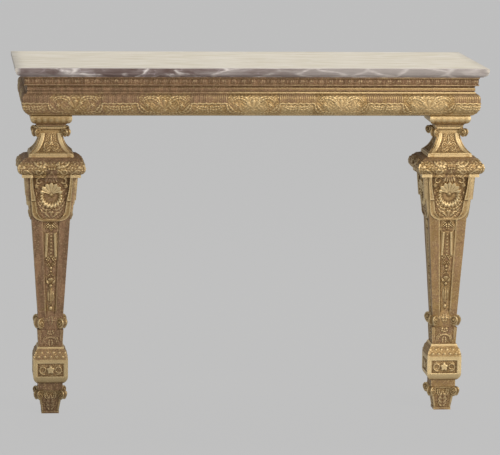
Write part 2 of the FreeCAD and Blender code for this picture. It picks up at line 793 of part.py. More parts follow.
def make_pins():
    """Three loose tenons on the leg's axis: post to shaft, shaft to plinth, plinth to foot."""
    long_low = shoulder_low - size("long_pin_in_shaft")
    long_length = leg_top + size("long_pin_in_post") - long_low
    mid_low = shaft_low - size("mid_pin_long") / 2
    low_low = plinth_low - size("low_pin_long") / 2
    return group("pins", [
        pin("long_pin", long_low, long_length, size("long_pin_wide")),
        pin("mid_pin", mid_low, size("mid_pin_long"), size("mid_pin_wide")),
        pin("low_pin", low_low, size("low_pin_long"), size("low_pin_wide"))])


# ---------------------------------------------------------------- ornament on the leg

def make_strapwork():
    """Strapwork shields on the four faces: a raised rim round a sunk field, drawn in to a toe."""
    high = shoulder_low
    side_z = high - size("shield_side_tall")
    toe_z = high - size("shield_tall")

    def field(inset, low_inset):
        return [
            (size("shield_top_wide") / 2 - inset, high),
            (size("shield_side_wide") / 2 - inset, side_z),
            (size("shield_toe_wide") / 2 - low_inset, toe_z + inset, size("shield_sweep"), BULGE)]

    out_high = size("shield_top_out")
    out_low = size("shield_low_out")
    sink = size("shield_sink")
    face = both_sides(shaft_band(high, toe_z, out_high, out_low))
    floor = both_sides(shaft_band(high, toe_z, out_high - sink, out_low - sink))
    strap = size("shield_strap")
    shields = []
    for direction, plane, across in (("x", "XZ_Plane", "YZ_Plane"), ("y", "YZ_Plane", "XZ_Plane")):
        name = f"shield_{direction}"
        rim = common(f"{name}_plate", [
            prism(f"{name}_rim", plane, both_sides(field(0, 0)), leg_span),
            prism(f"{name}_face", across, face, leg_span)])
        hollow = cut(f"{name}_field", prism(
            f"{name}_field_all", plane, both_sides(field(strap, strap / 2)), leg_span), [
            prism(f"{name}_floor", across, floor, leg_span)])
        core = square_turned(f"{name}_core", shaft_band(high, toe_z), leg_span)
        shields.append(cut(name, rim, [core, hollow]))
    return group("strapwork", shields)


def facet_rod(name, start, length, width, sides):
    """A rod of many flat sides that lies along +Y."""
    rod_solid = doc.addObject("Part::Prism", name)
    rod_solid.Polygon = int(cell(sides))
    rod_solid.Placement.Rotation = FreeCAD.Rotation(vector(1, 0, 0), -90)
    bind(rod_solid, Circumradius=width / 2, Height=length)
    move(rod_solid, *start)
    return rod_solid


def star_ring(share, lift, out):
    """One ring of the shell, ribs and flutes in turn round an oval, that far out from the axis."""
    ribs = int(cell("shell_ribs"))
    middle = (shoulder_low - size("shell_drop")).number + lift
    corners = []
    for index in range(ribs * 2):
        angle = math.pi * index / ribs
        reach = share * (cell("flute_share") if index % 2 else 1)
        across = cell("shell_wide") / 2 * reach * math.sin(angle)
        along = cell("shell_tall") / 2 * reach * math.cos(angle)
        corners.append(vector(across, -out, middle + along))
    return corners


def make_shell(floor):
    """Scallop shell: a fluted fan that domes up from a notched rim and draws together at a small
    hinge above its middle. Its rings are one star at three sizes, so each facet is flat."""
    middle = shoulder_low - size("shell_drop")
    base_out = shaft_half(middle)
    rise_out = base_out + size("shield_top_out") - size("shield_sink") + size("shell_rise")
    dome_lift = cell("hinge_lift") * (1 - cell("dome_share")) / (1 - cell("hinge_share"))
    dome_out = rise_out.number - cell("shell_rise") * (1 - cell("dome_rise"))
    rings = [
        star_ring(1, 0, base_out.number),
        star_ring(cell("dome_share"), dome_lift, dome_out),
        star_ring(cell("hinge_share"), cell("hinge_lift"), rise_out.number)]
    facets = [rings[0][::-1], rings[-1]]
    for low, high in zip(rings, rings[1:]):
        for index, corner in enumerate(low):
            facets.append([low[index - 1], corner, high[index], high[index - 1]])
    faces = [Part.Face(Part.makePolygon(facet + facet[:1])) for facet in facets]
    fan = doc.addObject("Part::Feature", "shell_fan")
    fan.Shape = Part.makeSolid(Part.makeShell(faces))
    boss = facet_rod(
        "shell_boss", (0, -rise_out - size("boss_rise"), middle + size("hinge_lift")),
        rise_out - base_out, size("boss_wide"), "boss_sides")
    whole = fuse("shell_whole", [fan, boss])
    return cut("shell", whole, [floor])


def make_shells():
    """A shell in the field of each shield, flat against the field's floor."""
    toe_z = shoulder_low - size("shield_tall")
    out_high = size("shield_top_out") - size("shield_sink")
    out_low = size("shield_low_out") - size("shield_sink")
    floor = prism(
        "shell_floor", "YZ_Plane", both_sides(shaft_band(shoulder_low, toe_z, out_high, out_low)),
        leg_span)
    return four_faces("shells", make_shell(floor))


def pendant_outline(half, side, rounded):
    """A pendant from its tip down: bell, knot, bud and husk on a stem. half gives the size of
    each part measured from the line that side gives. The bell flares and the husk swells where
    rounded is true; elsewhere, and on the knots, the carver's cuts are flat."""
    names = ("bell_long", "bell_gap", "knot_long", "knot_gap", "bud_long", "bud_gap", "husk_long")
    parts = [size(name) for name in names]
    chain_tall = panel_high - panel_low - size("pendant_drop") - size("pendant_low_gap")
    part_tall = chain_tall / sum(parts[1:], parts[0])
    levels = [panel_high - size("pendant_drop")]
    for part in parts:
        levels.append(levels[-1] - part_tall * part)
    bell_high, bell_low, knot_high, knot_low, bud_high, bud_low, husk_high, husk_low = levels
    bell_long = bell_high - bell_low
    husk_wide = husk_high - (husk_high - husk_low) * size("husk_widest")
    stem = half("stem")

    def at(out, level, *arc):
        return (side(level) + out, level) + (arc if rounded else ())

    def faceted(name, high, low):
        quarter = (high - low) / 4
        return [at(half(name), high - quarter), at(half(name), low + quarter), at(stem, low)]

    tip = stem / 2
    return [
        at(tip, bell_high),
        at(half("bell"), bell_low, swell(half("bell") - tip, bell_long), HOLLOW),
        at(stem, bell_low - size("bell_lip")),
        at(stem, knot_high), *faceted("knot", knot_high, knot_low),
        at(stem, bud_high), *faceted("bud", bud_high, bud_low), at(stem, husk_high),
        at(half("husk"), husk_wide),
        at(tip, husk_low, swell(half("husk") - tip, husk_wide - husk_low), BULGE)]


def make_pendants():
    """A chain of husks in the sunk panel of each face: its outline from the front, and its
    outline from the side, meet in one solid that lies on the panel's floor."""
    across_outline = both_sides(pendant_outline(
        lambda name: size(f"{name}_wide") / 2, lambda level: as_size(0), True))
    sink = size("panel_sink")
    along_outline = both_sides(pendant_outline(
        lambda name: size(f"{name}_rise"), lambda level: shaft_half(level) - sink, False))
    chains = []
    for direction, plane, across in (("x", "XZ_Plane", "YZ_Plane"), ("y", "YZ_Plane", "XZ_Plane")):
        name = f"pendant_{direction}"
        whole = common(f"{name}_whole", [
            prism(f"{name}_width", plane, across_outline, leg_span),
            prism(f"{name}_height", across, along_outline, leg_span)])
        floor = prism(
            f"{name}_floor", across,
            both_sides(shaft_band(shoulder_low, shaft_low, -sink, -sink)), leg_span)
        chains.append(cut(name, whole, [floor]))
    return group("pendants", chains)


def make_corner_scrolls(name, level_high, cores, with_eye):
    """Four scrolls on the corners of a leg, set along the diagonals: a roll at the top, cut in
    narrow flats, and a tail that hugs the corner. They are cut to lie against the pieces
    behind them."""
    prefix = name[:-1]
    thick = size(f"{prefix}_thick")
    roll = size(f"{prefix}_roll") / 2
    reach = size(f"{prefix}_span") / 2 * math.sqrt(2) - thick / 2
    low = level_high - size(f"{prefix}_tall")
    root = size("scroll_root")
    eye_x = reach - roll
    eye_z = level_high - roll
    tail = [(root, eye_z), (eye_x, eye_z), (eye_x, eye_z - roll), (eye_x - roll / 2, low), (root, low)]
    parts = [
        facet_rod(f"{name}_roll", (eye_x, thick / -2, eye_z), thick, roll * 2, "roll_sides"),
        prism(f"{name}_tail", "XZ_Plane", tail, thick)]
    if with_eye:
        parts.append(facet_rod(
            f"{name}_eye", (eye_x, thick / -2 - size("eye_rise"), eye_z),
            thick + size("eye_rise") * 2, size("eye_wide"), "eye_sides"))
    one = fuse(f"{name}_one", parts)
    one.Placement.Rotation = FreeCAD.Rotation(vector(0, 0, 1), 45)
    beside = mirror(f"{name}_beside", one, (1, 0, 0))
    behind = mirror(f"{name}_behind", one, (0, 1, 0))
    across = mirror(f"{name}_across", beside, (0, 1, 0))
    return cut(name, group(f"{name}_four", [one, beside, behind, across]), cores)


def blanks(*names):
    """The leg pieces before they are bored, on the leg's own axis."""
    return [doc.getObject(f"{name}_blank") for name in names]


def make_all_scrolls():
    """The scrolls under the capital, over the plinth and on the foot."""
    neck_high = leg_top - size("neck_scroll_drop")
    collar_high = shaft_low + size("collar_scroll_rise") + size("collar_scroll_tall")
    foot_high = plinth_low - size("foot_scroll_drop") + size("foot_scroll_tall")
    return group("corner_scrolls", [
        make_corner_scrolls("neck_scrolls", neck_high, blanks("capital", "neck"), False),
        make_corner_scrolls("collar_scrolls", collar_high, blanks("shaft"), True),
        make_corner_scrolls("foot_scrolls", foot_high, blanks("plinth", "foot"), False)])


# ---------------------------------------------------------------- assembly

LEG_PIECES = {}


def place_leg_piece(piece, name):
    """Stands a piece of the leg under the left post, and its mirror image under the right."""
    piece.Label = f"left_leg_{name}"
    move(piece, -leg_x, leg_y, 0)
    LEG_PIECES[f"left_leg_{name}"] = piece
    LEG_PIECES[f"right_leg_{name}"] = mirror(f"right_leg_{name}", piece, (1, 0, 0))


nodes = {}


def add(label, solid):
    """Keeps a finished node under its own label."""
    solid.Label = label
    nodes[label] = solid


def add_pair(name, left):
    """A left node and its mirror image on the right."""
    add(f"left_{name}", left)
    add(f"right_{name}", mirror(f"right_{name}_mirror", left, (1, 0, 0)))


add("marble_top", make_marble_top())
add("front_rail", make_front_rail())
add("back_rail", make_back_rail())
add_pair("rail", make_left_rail())
add_pair("leg_post", make_left_post())
add_pair("bearer", make_left_bearer())
add_pair("corner_block", make_left_corner_block())
add("joint_pegs", make_pegs())
add("cornice_front", make_front_run("cornice_front", cornice_profile()))
add("frieze_front", make_front_run("frieze_front", frieze_profile()))
cornice_end = make_left_run("cornice_left", cornice_profile())
frieze_end = make_left_run("frieze_left", frieze_profile())
add("cornice_left", cornice_end)
add("cornice_right", mirror("cornice_right", cornice_end, (1, 0, 0)))
add("frieze_left", frieze_end)
add("frieze_right", mirror("frieze_right", frieze_end, (1, 0, 0)))

for piece_name, solid in (
        ("capital", make_capital()), ("neck", make_neck()), ("shoulder", make_shoulder()),
        ("shaft", make_shaft()), ("plinth", make_plinth()), ("foot", make_foot()),
        ("loose_tenons", make_pins()), ("strapwork", make_strapwork()),
        ("shells", make_shells()), ("pendants", make_pendants()),
        ("corner_scrolls", make_all_scrolls())):
    place_leg_piece(solid, piece_name)
nodes.update(LEG_PIECES)

doc.recompute()

# ---------------------------------------------------------------- checks and files

for item in doc.Objects:
    if "Invalid" in item.State or "Error" in item.State:
        raise RuntimeError(f"{item.Name} failed: {item.State}")
for label, item in nodes.items():
    if item.Shape.isNull() or not item.Shape.isValid() or not item.Shape.Solids:
        raise RuntimeError(f"{label} has no valid shape")

os.makedirs(NODE_FOLDER, exist_ok=True)
for label, item in nodes.items():
    item.Shape.exportStep(f"{NODE_FOLDER}/{label}.step")
print(f"{len(nodes)} nodes written")
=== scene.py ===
import math
from functools import partial
import bpy
import numpy as np
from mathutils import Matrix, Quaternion, Vector


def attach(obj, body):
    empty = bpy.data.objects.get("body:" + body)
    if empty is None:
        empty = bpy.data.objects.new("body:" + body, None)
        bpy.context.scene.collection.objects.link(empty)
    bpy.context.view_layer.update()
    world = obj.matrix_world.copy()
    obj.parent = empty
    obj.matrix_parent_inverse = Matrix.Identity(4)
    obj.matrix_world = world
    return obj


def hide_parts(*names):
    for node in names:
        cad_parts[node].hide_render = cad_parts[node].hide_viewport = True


# Giltwood pier table: carved and gilded limewood under a loose slab of violet breccia.
# Lengths are in millimetres until a mesh is made. Every piece is made of closed grids of
# points, so its carving is real relief.

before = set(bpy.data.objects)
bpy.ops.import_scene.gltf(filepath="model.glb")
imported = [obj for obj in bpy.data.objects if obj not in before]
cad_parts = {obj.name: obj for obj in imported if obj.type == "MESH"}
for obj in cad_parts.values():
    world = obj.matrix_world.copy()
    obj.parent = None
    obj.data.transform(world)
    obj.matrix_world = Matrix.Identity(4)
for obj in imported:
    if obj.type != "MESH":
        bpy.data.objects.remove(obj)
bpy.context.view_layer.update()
MM = 0.001
SOFTENING = 14       # rounds of smoothing: the hollows are measured over about 5 mm
SHARP = 58           # edges that turn by more degrees than this are shaded sharp
ROWS, COLUMNS = 0, 1


# ---- meshes from grids

def xyz(x, y, z):
    """Points from coordinates that are numbers, rows, columns or whole grids."""
    return np.stack(np.broadcast_arrays(x, y, z), axis=-1)


def grid(points, tone, contrast=1.0, joined=COLUMNS):
    """A closed grid of points (rows, columns, 3): its last column, or row, joins the first.
    Tone and contrast are numbers, or arrays that fit the grid."""
    return {"points": points, "tone": tone, "contrast": contrast, "joined": joined}


def soften(values, joined, times):
    """Moves each value of a grid to the mean of itself and its neighbours, again and again. At
    an open end the row beyond is the row before it turned over."""
    for _ in range(times):
        for axis in (ROWS, COLUMNS):
            wide = [(0, 0)] * values.ndim
            wide[axis] = (1, 1)
            how = {} if axis == joined else {"reflect_type": "odd"}
            padded = np.pad(values, wide, "reflect" if how else "wrap", **how)
            count = values.shape[axis]
            before, after = (np.take(padded, range(k, count + k), axis) for k in (0, 2))
            values = values / 2 + (before + after) / 4
    return values


def grid_faces(rows, cols, joined):
    """Quads of a closed grid, and one face over each of its two open ends."""
    index = np.arange(rows * cols).reshape(rows, cols)
    if joined == COLUMNS:
        wide = np.hstack([index, index[:, :1]])
        ends = [index[0, ::-1], index[-1]]
    else:
        wide = np.vstack([index, index[:1]])
        ends = [index[:, 0], index[::-1, -1]]
    quads = np.stack([wide[:-1, :-1], wide[:-1, 1:], wide[1:, 1:], wide[1:, :-1]], axis=-1)
    return quads.reshape(-1, 4).tolist() + [end.tolist() for end in ends]


def inside_out(points, faces):
    """True if the volume that the quads enclose comes out negative."""
    quads = np.array([face for face in faces if len(face) == 4])
    middle = points.mean(axis=0)
    a, b, c, d = (points[quads[:, i]] - middle for i in range(4))
    volume = (a * np.cross(b, c)).sum() + (a * np.cross(c, d)).sum()
    return volume < 0


def piece(name, grids, material, body, replaces):
    """One piece from closed grids. Two attributes go with the mesh: tone, 0 for bright leaf to
    1 for leaf worn down to the bole, in places also painted highlight and painted shade, and on
    the slab the top's painted sheen, and hollow, how far in mm a point lies below the mean
    of its neighbourhood, times the grid's contrast."""
    vertices, faces, tones, softened = [], [], [], []
    start = 0
    for own in grids:
        points = own["points"]
        flat = points.reshape(-1, 3)
        quads = grid_faces(*points.shape[:2], own["joined"])
        if inside_out(flat, quads):
            quads = [face[::-1] for face in quads]
        vertices.append(flat)
        drop = (soften(points, own["joined"], SOFTENING) - points) * own["contrast"]
        softened.append((points + drop).reshape(-1, 3))
        faces += [[start + i for i in face] for face in quads]
        tones.append(np.broadcast_to(own["tone"], points.shape[:2]).reshape(-1))
        start += len(flat)
    vertices = np.concatenate(vertices)
    mesh = bpy.data.meshes.new(name)
    mesh.from_pydata((vertices * MM).tolist(), [], faces)
    mesh.update()
    mesh.polygons.foreach_set("use_smooth", np.ones(len(mesh.polygons), bool))
    mesh.set_sharp_from_angle(angle=math.radians(SHARP))
    normals = np.zeros(len(vertices) * 3, np.float32)
    mesh.vertex_normals.foreach_get("vector", normals)
    hollow = ((np.concatenate(softened) - vertices) * normals.reshape(-1, 3)).sum(axis=1)
    for label, values in (("tone", np.concatenate(tones)), ("hollow", hollow)):
        layer = mesh.attributes.new(label, "FLOAT", "POINT")
        layer.data.foreach_set("value", np.ascontiguousarray(values, np.float32))
    mesh.materials.append(material)
    thing = bpy.data.objects.new(name, mesh)
    bpy.context.scene.collection.objects.link(thing)
    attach(thing, body)
    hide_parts(*replaces)


# ---- outlines of mouldings

BULGE = 1
HOLLOW = -1


def outline(corners, step):
    """Points down a moulding's outline, at most a step apart. A corner is (x, z), or
    (x, z, turn) where a swelling or hollow arc leads to it. The arc's radius is
    (across squared + along squared) / (2 across), with across and along taken from the
    corners or, where they follow the turn, from there."""
    rows = [np.array(corners[0][:2], float)]
    for corner in corners[1:]:
        start, end = rows[-1], np.array(corner[:2], float)
        chord = end - start
        if len(corner) == 2:
            count = max(1, math.ceil(np.hypot(*chord) / step))
            rows += [start + chord * k / count for k in range(1, count + 1)]
            continue
        across, along = corner[3:] if len(corner) > 3 else np.abs(chord)
        radius = (across * across + along * along) / (across * 2)
        half = np.hypot(*chord) / 2
        side = np.array([chord[1], -chord[0]]) / (half * 2)
        centre = (start + end) / 2 + side * corner[2] * math.sqrt(max(radius ** 2 - half ** 2, 0))
        first = math.atan2(*(start - centre)[::-1])
        turn = math.atan2(*(end - centre)[::-1]) - first
        turn = (turn + math.pi) % (math.pi * 2) - math.pi
        count = max(2, math.ceil(abs(turn) * radius / step))
        for k in range(1, count + 1):
            angle = first + turn * k / count
            rows.append(centre + radius * np.array([math.cos(angle), math.sin(angle)]))
    return np.array(rows)


def face_out(section):
    """Outward direction at each point of an outline that runs down: square to its tangent."""
    tangent = np.gradient(section, axis=0)
    normal = np.stack([-tangent[:, 1], tangent[:, 0]], axis=1)
    return normal / np.maximum(np.linalg.norm(normal, axis=1, keepdims=True), 1e-9)


def distance_down(section):
    """Length of the outline from its top to each point."""
    return np.concatenate([[0], np.cumsum(np.linalg.norm(np.diff(section, axis=0), axis=1))])


# ---- carving: heights in mm

CURL_POINTS = 24


def ease(value):
    """A smooth step from 0 to 1."""
    value = np.clip(value, 0, 1)
    return value * value * (3 - 2 * value)


def within(value, low, high, soft, soft_high=None):
    """1 between low and high and 0 outside them, with a smooth step inside each."""
    return ease((value - low) / soft) * ease((high - value) / (soft_high or soft))


def half_round(gap):
    """Height of a half round: 1 at no gap and 0 from a gap of 1 on."""
    return np.sqrt(np.clip(1 - gap ** 2, 0, 1))


def curl(x, y, heading, length, turn, tight, width=(2.0, 1.0)):
    """Path (x, y, half width) of a stem that winds into a volute: its heading, in degrees,
    turns by 'turn' in all, as the power 'tight' of the share of the length."""
    share = np.linspace(0, 1, CURL_POINTS)
    angle = np.radians(heading + turn * share ** tight)
    middle = (angle[1:] + angle[:-1]) / 2
    step = length / (CURL_POINTS - 1)
    xs = x + np.concatenate([[0], np.cumsum(np.cos(middle))]) * step
    ys = y + np.concatenate([[0], np.cumsum(np.sin(middle))]) * step
    return np.stack([xs, ys, width[0] + (width[1] - width[0]) * share], axis=1)


def stretches(x, y, path):
    """For each straight stretch of a path: its number, the share of it, 0 to 1, that lies
    before the place nearest to each point, and the distance from there."""
    for k in range(len(path) - 1):
        (x0, y0), (x1, y1) = path[k:k + 2, :2]
        dx, dy = x1 - x0, y1 - y0
        t = np.clip(((x - x0) * dx + (y - y0) * dy) / (dx * dx + dy * dy), 0, 1)
        yield k, t, np.hypot(x - x0 - t * dx, y - y0 - t * dy)


def roll(x, y, path, height):
    """A carved roll along a path: its height falls away from the path as a half ellipse, and
    is less where the path is narrow."""
    widths = path[:, 2]
    best = np.zeros(x.shape)
    for k, t, gap in stretches(x, y, path):
        width = widths[k] + (widths[k + 1] - widths[k]) * t
        rise = height * np.sqrt(width / widths.max()) * half_round(gap / width)
        best = np.maximum(best, rise)
    return best


def leaf(x, y, stem, width, height, lobes=4):
    """Acanthus leaf along a curl with the values of its stem: the half width is a sine of the
    share of the length, cut into lobes; ribs sweep from a grooved middle vein to the lobes."""
    path = curl(*stem)
    nearest = np.full(x.shape, np.inf)
    share = np.zeros(x.shape)
    for k, t, gap in stretches(x, y, path):
        share = np.where(gap < nearest, (k + t) / (len(path) - 1), share)
        nearest = np.minimum(gap, nearest)
    body = np.sin(np.pi * share ** 0.7) ** 0.6
    half = width * body * (0.74 + 0.26 * np.abs(np.cos(np.pi * lobes * share)))
    inside = ease((half - nearest) / 1.1)
    out = np.clip(nearest / np.maximum(half, 0.1), 0, 1)
    ribs = 0.16 * np.cos(2 * np.pi * (lobes * share - 0.6 * nearest / width))
    vein = 0.5 * np.exp(-(nearest / 0.8) ** 2)
    return height * inside * np.clip(0.62 + 0.3 * out + ribs - vein, 0, 1.1)


def fan(x, y, reach, ribs, height, spread):
    """Palmette with its root at (0, 0), opening along +y. Its ribs are the absolute cosine of the
    angle times half their number: their tips notch the edge by it, and the height is its root
    and grows with the distance from the root. Spread is half its angle, in radians."""
    away = np.hypot(x, y)
    angle = np.arctan2(x, y)
    lobe = np.abs(np.cos(angle * ribs / 2))
    edge = reach * (0.84 + 0.16 * lobe)
    inside = ease((edge - away) / 1.3) * ease((spread - np.abs(angle)) / 0.1)
    return height * inside * (0.4 + 0.6 * np.clip(away / reach, 0, 1)) * (0.3 + 0.7 * np.sqrt(lobe))


def flower(x, y, radius, petals, height):
    """Round flower: a half round over the distance from its middle, whose radius and height swing
    with the absolute cosine of the angle, once for each petal, and a smaller one for a heart."""
    away = np.hypot(x, y)
    petal = np.abs(np.cos(np.arctan2(x, y) * petals / 2))
    edge = radius * (0.7 + 0.3 * petal)
    dome = half_round(away / edge) * (0.45 + 0.4 * petal)
    return height * np.maximum(dome, half_round(away / (radius * 0.3)))


def pearl(x, y, radius, height):
    """Half a ball."""
    return height * half_round(np.hypot(x, y) / radius)


def every(x, pitch, start=0.0):
    """Distance along x from the nearest of evenly spaced places."""
    return (x - start + pitch / 2) % pitch - pitch / 2


def strap(gap, half, height, edge=0.9):
    """Flat strap with bevelled sides, from the distance to its middle line."""
    return height * ease((half - np.abs(gap)) / edge)


def highest(*reliefs):
    """The reliefs laid over each other."""
    result = reliefs[0]
    for relief in reliefs[1:]:
        result = np.maximum(result, relief)
    return result


def leaves(x, y, *rows):
    """Leaves laid over each other. A row is a stem, then width, height and lobes."""
    return highest(*(leaf(x, y, *row) for row in rows))


def beads(x, y, *rows):
    """Half balls one above another on x 0. A row is the level, radius and height."""
    return highest(*(pearl(x, y - level, *size) for level, *size in rows))


def foliage(x, y, span, height):
    """Small close leaves, about three spans long, that fill a ground: the root of the product of
    two bent waves, so that thin cuts part the leaves."""
    first = np.sin(x / span + 1.7 * np.sin(y / span * 0.63))
    second = np.sin(y / span * 1.15 + 1.5 * np.sin(x / span * 0.71))
    return height * np.sqrt(np.abs(first * second))


# ---- finishes

def linear(text):
    """Linear colour from an sRGB hex value."""
    parts = [int(text[i:i + 2], 16) / 255 for i in (1, 3, 5)]
    return [c / 12.92 if c <= 0.04045 else ((c + 0.055) / 1.055) ** 2.4 for c in parts] + [1.0]


TIMES = {"operation": "MULTIPLY"}
PLUS = {"operation": "ADD"}
MINUS = {"operation": "SUBTRACT"}
MINUS_NOT_BELOW_0 = {"operation": "SUBTRACT", "use_clamp": True}
LARGER = {"operation": "MAXIMUM"}
COLOURS = {"data_type": "RGBA"}                     # i6 at a share i0 of 0, i7 at 1
SMOOTH = {"interpolation_type": "SMOOTHSTEP"}       # 0 where the value i0 is i1, 1 where i2


def add_node(tree, kind, settings=None, out=0, **links):
    """Adds a node with its own settings, and gives one output, by number or name. A link, named
    with _ for a space or as i and the input's number, is a value, a hex colour or an output."""
    node = tree.nodes.new("ShaderNode" + kind)
    for key, value in (settings or {}).items():
        setattr(node, key, value)
    for key, value in links.items():
        number = key[1:]
        socket = node.inputs[int(number) if number.isdigit() else key.replace("_", " ")]
        if isinstance(value, bpy.types.NodeSocket):
            tree.links.new(value, socket)
        else:
            socket.default_value = linear(value) if isinstance(value, str) else value
    return node.outputs[out] if node.outputs else None


def start_nodes(owner):
    """An emptied material or world, and add_node on its tree."""
    owner.use_nodes = True
    owner.node_tree.nodes.clear()
    return owner, partial(add_node, owner.node_tree)


def water_gilding():
    """Water gilding on carved and gessoed limewood: 23-carat leaf over a red-brown bole, with a
    burnish on the high places, which are also painted paler as a highlight, matt in the hollows
    and darkened there, partly by a brown glazing and partly as painted shade, and rubbed
    through to the bole on the plain faces. The eye gets a soft, warm, uneven metal."""
    material, add = start_nodes(bpy.data.materials.new("water_gilding_on_limewood"))
    place = add("TexCoord", out="Object")
    tone = add("Attribute", {"attribute_name": "tone"}, "Fac")
    hollow = add("Attribute", {"attribute_name": "hollow"}, "Fac")
    # patches of wear about 40 mm across, leaf joins and rubs of 7 mm, specks of 3 mm, and
    # grain of 1.2 mm, which is coarser than real gesso so that it shows
    clouds = add("TexNoise", Vector=place, Scale=1 / 0.040, Detail=4.0)
    rubs = add("TexNoise", Vector=place, Scale=1 / 0.007, Detail=5.0, Roughness=0.6)
    specks = add("TexNoise", Vector=place, Scale=1 / 0.003, Detail=3.0)
    grain = add("TexNoise", Vector=place, Scale=1 / 0.0012, Detail=2.0)
    high = add("MapRange", SMOOTH, i0=hollow, i1=-0.03, i2=-0.36)
    deep = add("Math", PLUS, i0=hollow, i1=add("Math", TIMES, i0=rubs, i1=0.14))
    deep = add("MapRange", SMOOTH, i0=deep, i1=0.09, i2=0.62)
    cloudy = add("MapRange", SMOOTH, i0=clouds, i1=0.3, i2=0.7)
    leaf_colour = add("Mix", COLOURS, 2, i0=cloudy, i6="#987c50", i7="#b69869")
    # the high places are painted paler: partly a burnish, partly a painted highlight
    bright = add("Math", TIMES, i0=high, i1=0.58)
    leaf_colour = add("Mix", COLOURS, 2, i0=bright, i6=leaf_colour, i7="#e0ca9c")
    # where the tone is low the leaf is painted pale: partly a burnish, partly a painted highlight
    burnished_and_painted_highlight = add("MapRange", SMOOTH, i0=tone, i1=0.14, i2=0.0)
    burnished_and_painted_highlight = add("Math", TIMES, i0=burnished_and_painted_highlight, i1=0.6)
    leaf_colour = add("Mix", COLOURS, 2, i0=burnished_and_painted_highlight, i6=leaf_colour, i7="#ead4a4")
    # wear grows with the tone, breaks up over the rubs and spares the high places
    uneven = add("Math", TIMES, i0=rubs, i1=0.9)
    uneven = add("Math", PLUS, i0=uneven, i1=add("Math", TIMES, i0=clouds, i1=0.7))
    worn = add("Math", PLUS, i0=uneven, i1=add("Math", TIMES, i0=tone, i1=1.15))
    worn = add("Math", MINUS, i0=worn, i1=1.02)
    worn = add("Math", MINUS, i0=worn, i1=add("Math", TIMES, i0=high, i1=0.3))
    worn = add("MapRange", SMOOTH, i0=worn, i1=-0.1, i2=0.5)
    # the bole shows the strokes of the rubbing, 12 mm wide and drawn out upright
    upright = add("Mapping", Vector=place, Scale=(1.0, 1.0, 0.16))
    strokes = add("TexNoise", Vector=upright, Scale=1 / 0.012, Detail=4.0)
    strokes = add("MapRange", SMOOTH, i0=strokes, i1=0.42, i2=0.66)
    rubbed = add("MapRange", SMOOTH, i0=rubs, i1=0.3, i2=0.7)
    bole = add("Mix", COLOURS, 2, i0=rubbed, i6="#5f4632", i7="#846550")
    bole = add("Mix", COLOURS, 2, i0=strokes, i6=bole, i7="#937258")
    bare = add("Math", TIMES, i0=worn, i1=0.85)
    colour = add("Mix", COLOURS, 2, i0=bare, i6=leaf_colour, i7=bole)
    # the hollows are darkened: partly a real brown glaze, partly painted shade
    glaze_and_shade_colour = add("Mix", COLOURS, 2, i0=clouds, i6="#4b341d", i7="#6f512b")
    glaze_and_painted_shade = add("Math", TIMES, i0=deep, i1=0.72)
    colour = add("Mix", COLOURS, 2, i0=glaze_and_painted_shade, i6=colour, i7=glaze_and_shade_colour)
    # burnish leaves the leaf clean, elsewhere dark specks are left in it; low down, most on the
    # left leg, which stands in the shade, painted shade darkens it; pale specks lie over both
    speckled = add("Math", MINUS, i0=0.42, i1=add("Math", TIMES, i0=burnished_and_painted_highlight, i1=0.5))
    dark_specks = add("MapRange", SMOOTH, i0=specks, i1=0.54, i2=0.70)
    dark_specks = add("Math", TIMES, i0=dark_specks, i1=speckled)
    colour = add("Mix", COLOURS, 2, i0=dark_specks, i6=colour, i7="#5f492c")
    painted_shade_low = add("MapRange", SMOOTH, i0=add("SeparateXYZ", out="Z", Vector=place), i1=0.26,
                   i2=0.0)
    painted_shade_left = add("MapRange", SMOOTH, i0=add("SeparateXYZ", out="X", Vector=place), i1=0.3,
                  i2=-0.3)
    # painted shade: darker low down and towards the left
    darkening = add("Math", TIMES, i0=painted_shade_low, i1=painted_shade_left)
    darkening = add("Math", TIMES, i0=darkening, i1=0.36)
    colour = add("Mix", COLOURS, 2, i0=darkening, i6=colour, i7="#3d2c1b")
    pale_specks = add("MapRange", SMOOTH, i0=specks, i1=0.46, i2=0.32)
    pale_specks = add("Math", TIMES, i0=pale_specks, i1=0.34)
    colour = add("Mix", COLOURS, 2, i0=pale_specks, i6=colour, i7="#dcc596")
    # bole, and the glazing and painted shade in the hollows, are no metal, and duller than the leaf
    dull = add("Math", TIMES, i0=worn, i1=0.5)
    dull = add("Math", PLUS, i0=dull, i1=add("Math", TIMES, i0=deep, i1=0.4))
    metal = add("Math", MINUS_NOT_BELOW_0, i0=0.80, i1=dull)
    matt = add("Math", TIMES, i0=deep, i1=0.3)
    matt = add("Math", PLUS, i0=matt, i1=add("Math", TIMES, i0=worn, i1=0.16))
    matt = add("Math", PLUS, i0=0.53, i1=matt)
    matt = add("Math", MINUS, i0=matt, i1=add("Math", TIMES, i0=high, i1=0.08))
    relief = add("Math", PLUS, i0=rubs, i1=add("Math", TIMES, i0=grain, i1=0.35))
    bump = add("Bump", Strength=0.5, Distance=0.0006, Height=relief)
    add("OutputMaterial", Surface=add("BsdfPrincipled", Base_Color=colour, Metallic=metal,
                                      Roughness=matt, Normal=bump))
    return material


